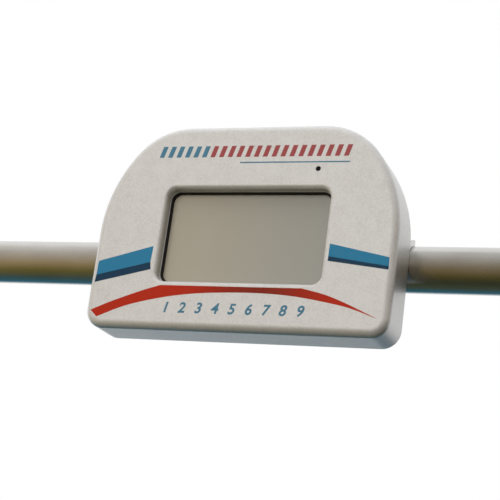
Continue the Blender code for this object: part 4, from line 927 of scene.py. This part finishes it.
def face_depth(x, z):
    """The y of the shell's surface at a point of the face, which drops away on the rolled edge."""
    sunk = min(max(1 - distance_inside(x, z) / front_roll, 0), 1)
    return face_y + front_roll * (1 - math.sqrt(1 - sunk * sunk))


def printed(name, columns, finish, rows=4):
    """A thin print on the face, between pairs of (upper, lower) points, lying on the surface all over."""
    bm = bmesh.new()
    front, back = [], []
    for upper, lower in columns:
        points = [Vector(upper).lerp(Vector(lower), r / rows) for r in range(rows + 1)]
        front.append([bm.verts.new((x, face_depth(x, z) - ink_height, z)) for x, z in points])
        back.append([bm.verts.new((x, face_depth(x, z) + ink_depth, z)) for x, z in points])
    for i in range(len(columns) - 1):
        for r in range(rows):
            bm.faces.new((front[i][r], front[i + 1][r], front[i + 1][r + 1], front[i][r + 1]))
            bm.faces.new((back[i][r], back[i][r + 1], back[i + 1][r + 1], back[i + 1][r]))
        for r in (0, rows):
            bm.faces.new((front[i][r], back[i][r], back[i + 1][r], front[i + 1][r]))
    for i in (0, -1):
        for r in range(rows):
            bm.faces.new((front[i][r], front[i][r + 1], back[i][r + 1], back[i][r]))
    piece = solid(name, bm, finish, sharp=60)
    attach(piece, "console")


def straight(start, end, steps):
    """Points on a straight line, both ends included."""
    return [Vector(start).lerp(Vector(end), i / steps) for i in range(steps + 1)]


def on_face(points):
    """Points given in millimetres, up from the print's own level, as metres in the shared frame."""
    return [(x / 1000, z / 1000 + print_level) for x, z in points]


light_blue = ink("light_blue_ink", (0.017, 0.145, 0.262))
navy = ink("navy_ink", (0.005, 0.028, 0.060))
red = ink("red_ink", (0.33, 0.014, 0.001), (0.16, 0.012, 0.003), 0.022)
stripes = {
    "left_light": (((-138.3, -27.8), (-84.8, -12.5)), ((-138.6, -41.2), (-85.5, -27.9)), light_blue),
    "left_navy": (((-138.6, -41.2), (-85.5, -27.9)), ((-139.3, -48.3), (-84.3, -34.8)), navy),
    "right_light": (((84.4, -7.9), (139.2, -19.6)), ((84.2, -19.6), (139.4, -27.6)), light_blue),
    "right_navy": (((84.2, -19.6), (139.4, -27.6)), ((84.1, -23.8), (139.3, -30.7)), navy),
}
for name, (upper, lower, finish) in stripes.items():
    columns = list(zip(straight(*on_face(upper), 48), straight(*on_face(lower), 48)))
    printed(f"stripe_{name}", columns, finish)


def flowing(points, steps):
    """A smooth line through the points, steps to a span."""
    points = [Vector(p) for p in points]
    ends = [2 * points[0] - points[1]] + points + [2 * points[-1] - points[-2]]
    line = []
    for a, b, c, d in zip(ends, ends[1:], ends[2:], ends[3:]):
        for i in range(steps):
            t = i / steps
            point = 2 * b + (c - a) * t + (2 * a - 5 * b + 4 * c - d) * t**2
            line.append(0.5 * (point + (3 * b - 3 * c + d - a) * t**3))
    return line + [points[-1]]


def height_on(line, x):
    """The height of a line that runs left to right, at x."""
    for a, b in zip(line, line[1:]):
        if x <= b.x:
            return a.y + (b.y - a.y) * (x - a.x) / (b.x - a.x)
    return line[-1].y


band_start = -138.4
band_slant = 6.8
band_slant_length = 40
band_left = flowing([(-138.4, -74.8), (-121.5, -67.2), (-104.8, -60.7), (-88.0, -54.6), (-72.0, -49.6)], 10)
band_middle = straight((-72.0, -49.6), (63.3, -49.4), 60)
band_right = flowing([(63.3, -49.4), (83.5, -54.0), (98.0, -59.0), (110.7, -64.2), (133.5, -74.2)], 12)
band_upper = band_left + band_middle[1:] + band_right[1:]
band_lower = flowing(
    [(-131.6, -81.1), (-103.3, -69.6), (-70.0, -61.4), (-36.9, -56.7), (-1.4, -54.9),
     (30.0, -55.0), (59.9, -57.2), (94.9, -62.9), (112.4, -67.1), (133.6, -74.5)],
    12,
)
columns = []
for upper in band_upper:
    x = upper.x + band_slant * max(0.0, 1 - (upper.x - band_start) / band_slant_length)
    lower = Vector((x, height_on(band_lower, x)))
    columns.append(on_face([upper, lower]))
printed("stripe_red", columns, red)


# Printed marks: plain slanted bars and a thin rule over the window, and a row of plain numbers under it.
# They are printed along with the stripes, in two inks of their own.
title_blue = ink("title_blue_ink", (0.052, 0.150, 0.225))
title_red = ink("title_red_ink", (0.255, 0.052, 0.054))
bar_start = -93.0
bar_low = 74.5
bar_high = 85.5
bar_slant = 3.0
bar_width = 4.6
bar_pitch = 8.6
bar_count = 22
blue_bars = 6
rule_ends = (-11.0, 94.0)
rule_edges = (69.6, 68.4)
for number in range(bar_count):
    x = bar_start + bar_pitch * number
    upper = on_face([(x + bar_slant, bar_high), (x + bar_slant + bar_width, bar_high)])
    lower = on_face([(x, bar_low), (x + bar_width, bar_low)])
    group, finish = ("blue", title_blue) if number < blue_bars else ("red", title_red)
    printed(f"bar_{group}_{number + 1}", list(zip(upper, lower)), finish, rows=1)
rule_upper, rule_lower = [straight(*on_face([(x, z) for x in rule_ends]), 20) for z in rule_edges]
printed("title_rule", list(zip(rule_upper, rule_lower)), title_blue, rows=1)

number_height = 0.0094
number_slant = 0.21
number_weight = 0.00035
number_pitch = 16.0
first_number = (-64.0, -74.6)
digit_share = 0.70
for number in range(1, 10):
    curve = bpy.data.curves.new(f"number_{number}", "FONT")
    curve.body = str(number)
    curve.size = number_height / digit_share
    curve.align_x = "CENTER"
    curve.extrude = (ink_height + ink_depth) / 2
    curve.shear = number_slant
    curve.offset = number_weight
    words = linked(f"number_{number}", curve)
    graph = bpy.context.evaluated_depsgraph_get()
    mesh = bpy.data.meshes.new_from_object(words.evaluated_get(graph))
    bpy.data.objects.remove(words)
    x, z = on_face([(first_number[0] + number_pitch * (number - 1), first_number[1])])[0]
    upright = Matrix.Rotation(quarter_turn, 4, "X")
    mesh.transform(Matrix.Translation((x, face_y - (ink_height - ink_depth) / 2, z)) @ upright)
    mesh.materials.clear()
    mesh.materials.append(title_blue)
    digit = linked(f"scale_number_{number}", mesh)
    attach(digit, "console")


# Rear cover: a flat pressed plate, grey powder coated, that drops into the shell from behind.
# It carries the saddle, the sound slots and every fitting, and six countersunk screws hold it.
cover_front_y = -0.0312
cover_back_y = -0.0282
cover_thickness = 0.0030
cover_inset = 0.0033
fittings_z = -0.0570
speaker_x = -0.0800
speaker_z = -0.0530
slot_count = 5
slot_pitch = 0.0050
slot_width = 0.0022
slot_length = 0.0220
inlet_x = -0.0300
socket_xs = (0.0100, 0.0600)
button_x = 0.0910
cover_boss_inset = 0.0093
cover_low_screw_x = 0.1050
cover_screw_shank = 0.0014
cover_screw_head = 0.0028
cover_screw_reach = 0.0120
cover_screw_hole = 0.0017
cover_screw_depth = 0.0040
cover_screw_sunk = 0.0002
countersink = 0.0031
socket_hole = 0.0081
inlet_hole = 0.0071
button_hole = 0.0084
cover_finish = worked_finish("grey_powder_coat", (0.27, 0.27, 0.27), 0.52, 0.0, 1300, 60, 0.10)


def row_tree():
    """A row of the same shape along X, which the rear cover's sound slots are cut with."""
    tree, given = group_with("row_of_slots", {"Count": "Int", "Pitch": "Float"})
    step = new_node(tree, "ShaderNodeCombineXYZ", {"X": given["Pitch"]}).outputs[0]
    line = new_node(tree, "GeometryNodeMeshLine", {"Count": given["Count"], "Offset": step}).outputs[0]
    copies = {"Points": line, "Instance": given["Geometry"]}
    return hand_out(tree, given, new_node(tree, "GeometryNodeInstanceOnPoints", copies))


def cover_screw_places():
    """(x, z) of the screws round the cover, each at the same distance inside the outline."""
    low_z = bottom_z + cover_boss_inset
    places = [(-cover_low_screw_x, low_z), (cover_low_screw_x, low_z)]
    for centre, radius, angle in ((side_centre, side_arc, 22), (top_centre, top_arc, 66)):
        reach = radius - cover_boss_inset
        x = centre[0] + reach * math.cos(math.radians(angle))
        z = centre[1] + reach * math.sin(math.radians(angle))
        places += [(x, z), (-x, z)]
    return places


bm = bmesh.new()
levels = [(cover_inset, cover_front_y)] + soft_corner(cover_inset, cover_back_y, 1)
skin(bm, drawn(console_outline, levels))
cover = solid("rear_cover_plate", bm, cover_finish)
bm = bmesh.new()
first_slot = speaker_x - (slot_count - 1) / 2 * slot_pitch
slot_end = slot_length / 2 - slot_width / 2
ends = arc(slot_width / 2, 0, math.pi, 10, (first_slot, speaker_z + slot_end))
ends += arc(slot_width / 2, math.pi, math.tau, 10, (first_slot, speaker_z - slot_end))
through = (cover_front_y - overcut, cover_back_y + overcut)
along_y(bm, ends, *through)
slots = solid("slots", bm, cover_finish)
row = {"Count": slot_count, "Pitch": slot_pitch, "Finish": cover_finish}
modified(slots, "NODES", row, node_group=row_tree())
combine(cover, taken(slots), "DIFFERENCE")
bm = bmesh.new()
cone = [(0, -cover_screw_depth), (cover_screw_hole, -cover_screw_depth)]
cone += [(cover_screw_hole, cover_screw_hole - countersink)]
cone += [(countersink, 0), (countersink, overcut), (0, overcut)]
for x, z in cover_screw_places():
    turned(bm, cone, 32, (x, cover_back_y, z))
fitting_holes = [(x, socket_hole) for x in socket_xs] + [(inlet_x, inlet_hole), (button_x, button_hole)]
for x, radius in fitting_holes:
    rod(bm, radius, *through, (x, fittings_z), 48)
for place in corners(saddle_screw_x, saddle_screw_z):
    rod(bm, saddle_screw_hole, *through, place, 24)
combine(cover, bm, "DIFFERENCE")
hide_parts("rear_cover")
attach(cover, "console")

screw = cross_screw(cover_screw_shank, cover_screw_reach, cover_screw_head, 0.0)
screw_places = [(x, cover_back_y - cover_screw_sunk, z) for x, z in cover_screw_places()]
cover_screws = set_of("cover_screw_set", screw, screw_places, zinc_finish, largest_turn=math.pi, seed=5)
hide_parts(*[f"cover_screw_{i}" for i in range(1, 7)])
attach(cover_screws, "console")


# Sensor sockets: two round black panel sockets in the lower strip, each with a ribbed barrel to grip,
# four gold pins in its bore, and a nut inside the cover.
socket_thread = 0.0078
socket_flange = 0.0095
socket_flange_thickness = 0.0022
socket_barrel = 0.0064
socket_rise = 0.0085
socket_bore = 0.0048
socket_bore_depth = 0.0105
socket_tail = 0.0140
rib_width = 0.0007
rib_height = 0.00055
rib_share = 0.62
rib_middle = 0.52
rib_count = 28
pin_length = 0.0080
pin_circle = 0.0026
pin_rise = 0.0078
fitting_finish = worked_finish("black_moulded_fitting", (0.022, 0.022, 0.023), 0.38, 0.0, 1200, 10, 0.2)


def rib_tree():
    """Adds straight ribs round a barrel that points along Y."""
    sockets = {"Count": "Int", "Radius": "Float", "Rib size": "Vector", "Middle": "Vector"}
    tree, given = group_with("ribs_round_barrel", sockets)
    ring_of_points = {"Vertices": given["Count"], "Radius": given["Radius"]}
    circle = new_node(tree, "GeometryNodeMeshCircle", ring_of_points)
    rib = new_node(tree, "GeometryNodeMeshCube", {"Size": given["Rib size"]})
    spacing = math_node("DIVIDE", math.tau, given["Count"])
    angle = math_node("MULTIPLY", new_node(tree, "GeometryNodeInputIndex").outputs[0], spacing)
    facing = new_node(tree, "ShaderNodeCombineXYZ", {"Z": angle}).outputs[0]
    copies = {"Points": circle.outputs[0], "Instance": rib.outputs[0], "Rotation": facing}
    ring = new_node(tree, "GeometryNodeInstanceOnPoints", copies).outputs[0]
    lay_down = {"Geometry": ring, "Rotation": (-quarter_turn, 0, 0)}
    along = new_node(tree, "GeometryNodeTransform", lay_down).outputs[0]
    placed = new_node(tree, "GeometryNodeTransform", {"Geometry": along, "Translation": given["Middle"]})
    join = new_node(tree, "GeometryNodeJoinGeometry")
    for piece in (given["Geometry"], placed.outputs[0]):
        tree.links.new(piece, join.inputs[0])
    return hand_out(tree, given, join)


def panel_socket(thread, flange, barrel, rise, bore, depth, ribs):
    """A socket seated at y = 0 on the cover's back, open towards +Y."""
    back = touch_gap + socket_flange_thickness
    mouth = back + rise
    tail = -cover_thickness - socket_tail
    profile = [(0, tail), (thread, tail), (thread, touch_gap), (flange, touch_gap)]
    profile += soft_corner(flange, back) + [(barrel, back)] + soft_corner(barrel, mouth)
    profile += chamfer(bore, mouth, 1) + [(bore, mouth - depth), (0, mouth - depth)]
    body = lathe("socket_body", profile, 64, fitting_finish)
    if ribs:
        size = (rib_width, rib_height, rise * rib_share)
        middle = (0, back + rise * rib_middle, 0)
        inputs = {"Count": ribs, "Radius": barrel, "Rib size": size, "Middle": middle}
        modified(body, "NODES", {**inputs, "Finish": fitting_finish}, node_group=rib_tree())
    return body


def contact_pin(radius, tip_radius, taper, steps):
    """A round contact pin with its tip at y = 0."""
    profile = [(0, -pin_length), (radius, -pin_length), (radius, -taper), (tip_radius, 0), (0, 0)]
    return lathe("pin", profile, steps, gold_finish)


socket_size = (socket_thread, socket_flange, socket_barrel, socket_rise, socket_bore, socket_bore_depth)
socket = panel_socket(*socket_size, ribs=rib_count)
socket_places = [(x, cover_back_y, fittings_z) for x in socket_xs]
sensor_sockets = set_of("sensor_socket_pair", socket, socket_places, fitting_finish)
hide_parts("sensor_socket_left", "sensor_socket_right")
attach(sensor_sockets, "console")

gold_finish = worked_finish("gold_plating", (0.80, 0.58, 0.24), 0.22, 1.0, 1500, 2, 0.05)
pin_places = []
for x in socket_xs:
    for degrees in (45, 135, 225, 315):
        a = math.radians(degrees)
        across, up = pin_circle * math.cos(a), pin_circle * math.sin(a)
        pin_places.append((x + across, cover_back_y + pin_rise, fittings_z + up))
pin = contact_pin(radius=0.00045, tip_radius=0.00025, taper=0.0004, steps=16)
socket_pins = set_of("socket_pin_set", pin, pin_places, gold_finish)
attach(socket_pins, "console")


# Power inlet: a smaller round socket with one centre pin, for the power supply's plug.
# It sits in the same row, with its nut inside the cover.
inlet_thread = 0.0068
inlet_flange = 0.0085
inlet_barrel = 0.0058
inlet_rise = 0.0050
inlet_bore = 0.0040
inlet_bore_depth = 0.0090
inlet_pin_rise = 0.0060
inlet_size = (inlet_thread, inlet_flange, inlet_barrel, inlet_rise, inlet_bore, inlet_bore_depth)
inlet = panel_socket(*inlet_size, ribs=0)
power_inlet = set_of("power_inlet_body", inlet, [(inlet_x, cover_back_y, fittings_z)], fitting_finish)
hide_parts("power_inlet")
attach(power_inlet, "console")
pin = contact_pin(radius=0.0009, tip_radius=0.0005, taper=0.0006, steps=24)
inlet_pin_place = (inlet_x, cover_back_y + inlet_pin_rise, fittings_z)
inlet_pin = set_of("power_inlet_pin", pin, [inlet_pin_place], gold_finish)
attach(inlet_pin, "console")


# Power button: a red cap that slides in a black threaded bezel and presses the switch behind it.
# The cap is dished for a fingertip.
button_radius = 0.0060
bezel_bore = 0.0063
bezel_thread = 0.0081
bezel_flange = 0.0098
bezel_lip = 0.0023
bezel_tail = -0.0092
cap_rise = 0.0035
cap_thickness = 0.0065
cap_dish = 0.0005
stem_radius = 0.0020
stem_length = 0.0030
button_place = (button_x, cover_back_y, fittings_z)
profile = [(bezel_bore, bezel_tail), (bezel_thread, bezel_tail)]
profile += [(bezel_thread, touch_gap), (bezel_flange, touch_gap)]
profile += [(bezel_flange, bezel_lip - 0.0008), (bezel_flange - 0.0002, bezel_lip - 0.0003)]
profile += [(bezel_flange - 0.0008, bezel_lip)] + chamfer(bezel_bore, bezel_lip, 1)
bezel = lathe("power_button_bezel", profile, 64, fitting_finish, button_place)
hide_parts("button_bezel")
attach(bezel, "console")

red_finish = worked_finish("red_moulding", (0.42, 0.028, 0.018), 0.32, 0.0, 700, 10, 0.08)
cap_top = bezel_lip + cap_rise
cap_bottom = cap_top - cap_thickness
stem_end = cap_bottom - stem_length
profile = [(0, stem_end), (stem_radius, stem_end), (stem_radius, cap_bottom), (button_radius, cap_bottom)]
profile += [(button_radius, cap_top - 0.0006), (button_radius - 0.0002, cap_top - 0.0002)]
profile += [(button_radius - 0.0006, cap_top)]
for share in (0.85, 0.7, 0.5, 0.25):
    profile.append((button_radius * share, cap_top - cap_dish * (1 - (share / 0.9) ** 2)))
profile.append((0, cap_top - cap_dish))
button = lathe("power_button_cap", profile, 64, red_finish, button_place)
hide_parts("power_button")
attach(button, "power_button")


# Parts sealed inside the console: their solids are kept as they are, each with its own finish.
# They show only where the console is opened, or as a glimpse through the sound slots.
def dress(finish, *names):
    """Give the solids with these names a finish."""
    for name in names:
        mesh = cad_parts[name].data
        mesh.materials.clear()
        mesh.materials.append(finish)


steel_colour = (0.50, 0.50, 0.50)
steel_finish = worked_finish("rolled_sheet_steel", steel_colour, 0.38, 1.0, 1200, 8, 0.05, (0.05, 1, 1))
brass_finish = worked_finish("nickel_plated_brass", (0.62, 0.58, 0.48), 0.28, 1.0, 1500, 5, 0.05)
panel_finish = worked_finish("display_back", (0.20, 0.20, 0.21), 0.40, 0.6, 600, 5, 0.08)
lead_finish = worked_finish("black_pvc", (0.018, 0.018, 0.018), 0.48, 0.0, 1500, 10, 0.25)
moulding_finish = worked_finish("black_moulding", (0.020, 0.020, 0.020), 0.50, 0.0, 1500, 10, 0.25)
film_finish = worked_finish("amber_film", (0.45, 0.22, 0.03), 0.34, 0.0, 900, 5, 0.15, (1, 1, 0.1))

board_face_y = -0.03601
board_finish, shader, own = new_finish("circuit_board", 0.42)
tree = board_finish.node_tree
own_parts = parts_of(own)
flat = new_node(tree, "ShaderNodeCombineXYZ", {"X": own_parts["X"], "Y": own_parts["Z"]}).outputs[0]
greens = {
    "Color1": (0.016, 0.130, 0.050, 1),
    "Color2": (0.020, 0.160, 0.062, 1),
    "Mortar": (0.050, 0.250, 0.110, 1),
}
tracks = new_node(tree, "ShaderNodeTexBrick", {"Vector": flat, "Scale": 260, "Mortar Size": 0.05, **greens})
soldered = range_node(own_parts["Y"], board_face_y - 0.00001, board_face_y + 0.00001, 1.0, 0.0)
moulded = mix_node(noise(own, 1500), (0.015, 0.015, 0.015), (0.030, 0.030, 0.030))
feed(shader, {"Base Color": mix_node(soldered, tracks.outputs[0], moulded)})
bump(shader, noise(own, 900), 10)

dress(panel_finish, "display_panel")
dress(steel_finish, "display_bracket_left", "display_bracket_right", "coin_cell")
dress(brass_finish, *[f"board_pillar_{i}" for i in (1, 2, 3, 4)])
dress(brass_finish, "sensor_socket_nut_left", "sensor_socket_nut_right", "power_inlet_nut", "button_nut")
dress(zinc_finish, *[f"board_screw_{i}" for i in (1, 2, 3, 4)], "sensor_screw_1")
dress(board_finish, "main_board", "sensor_board")
dress(saddle_finish, "heat_spreader")
dress(film_finish, "display_ribbon")
dress(rubber_finish, "rear_seal")
dress(moulding_finish, "speaker", "button_switch")
dress(lead_finish, "sensor_lead_left", "sensor_lead_right", "inlet_lead", "button_lead", "speaker_lead")
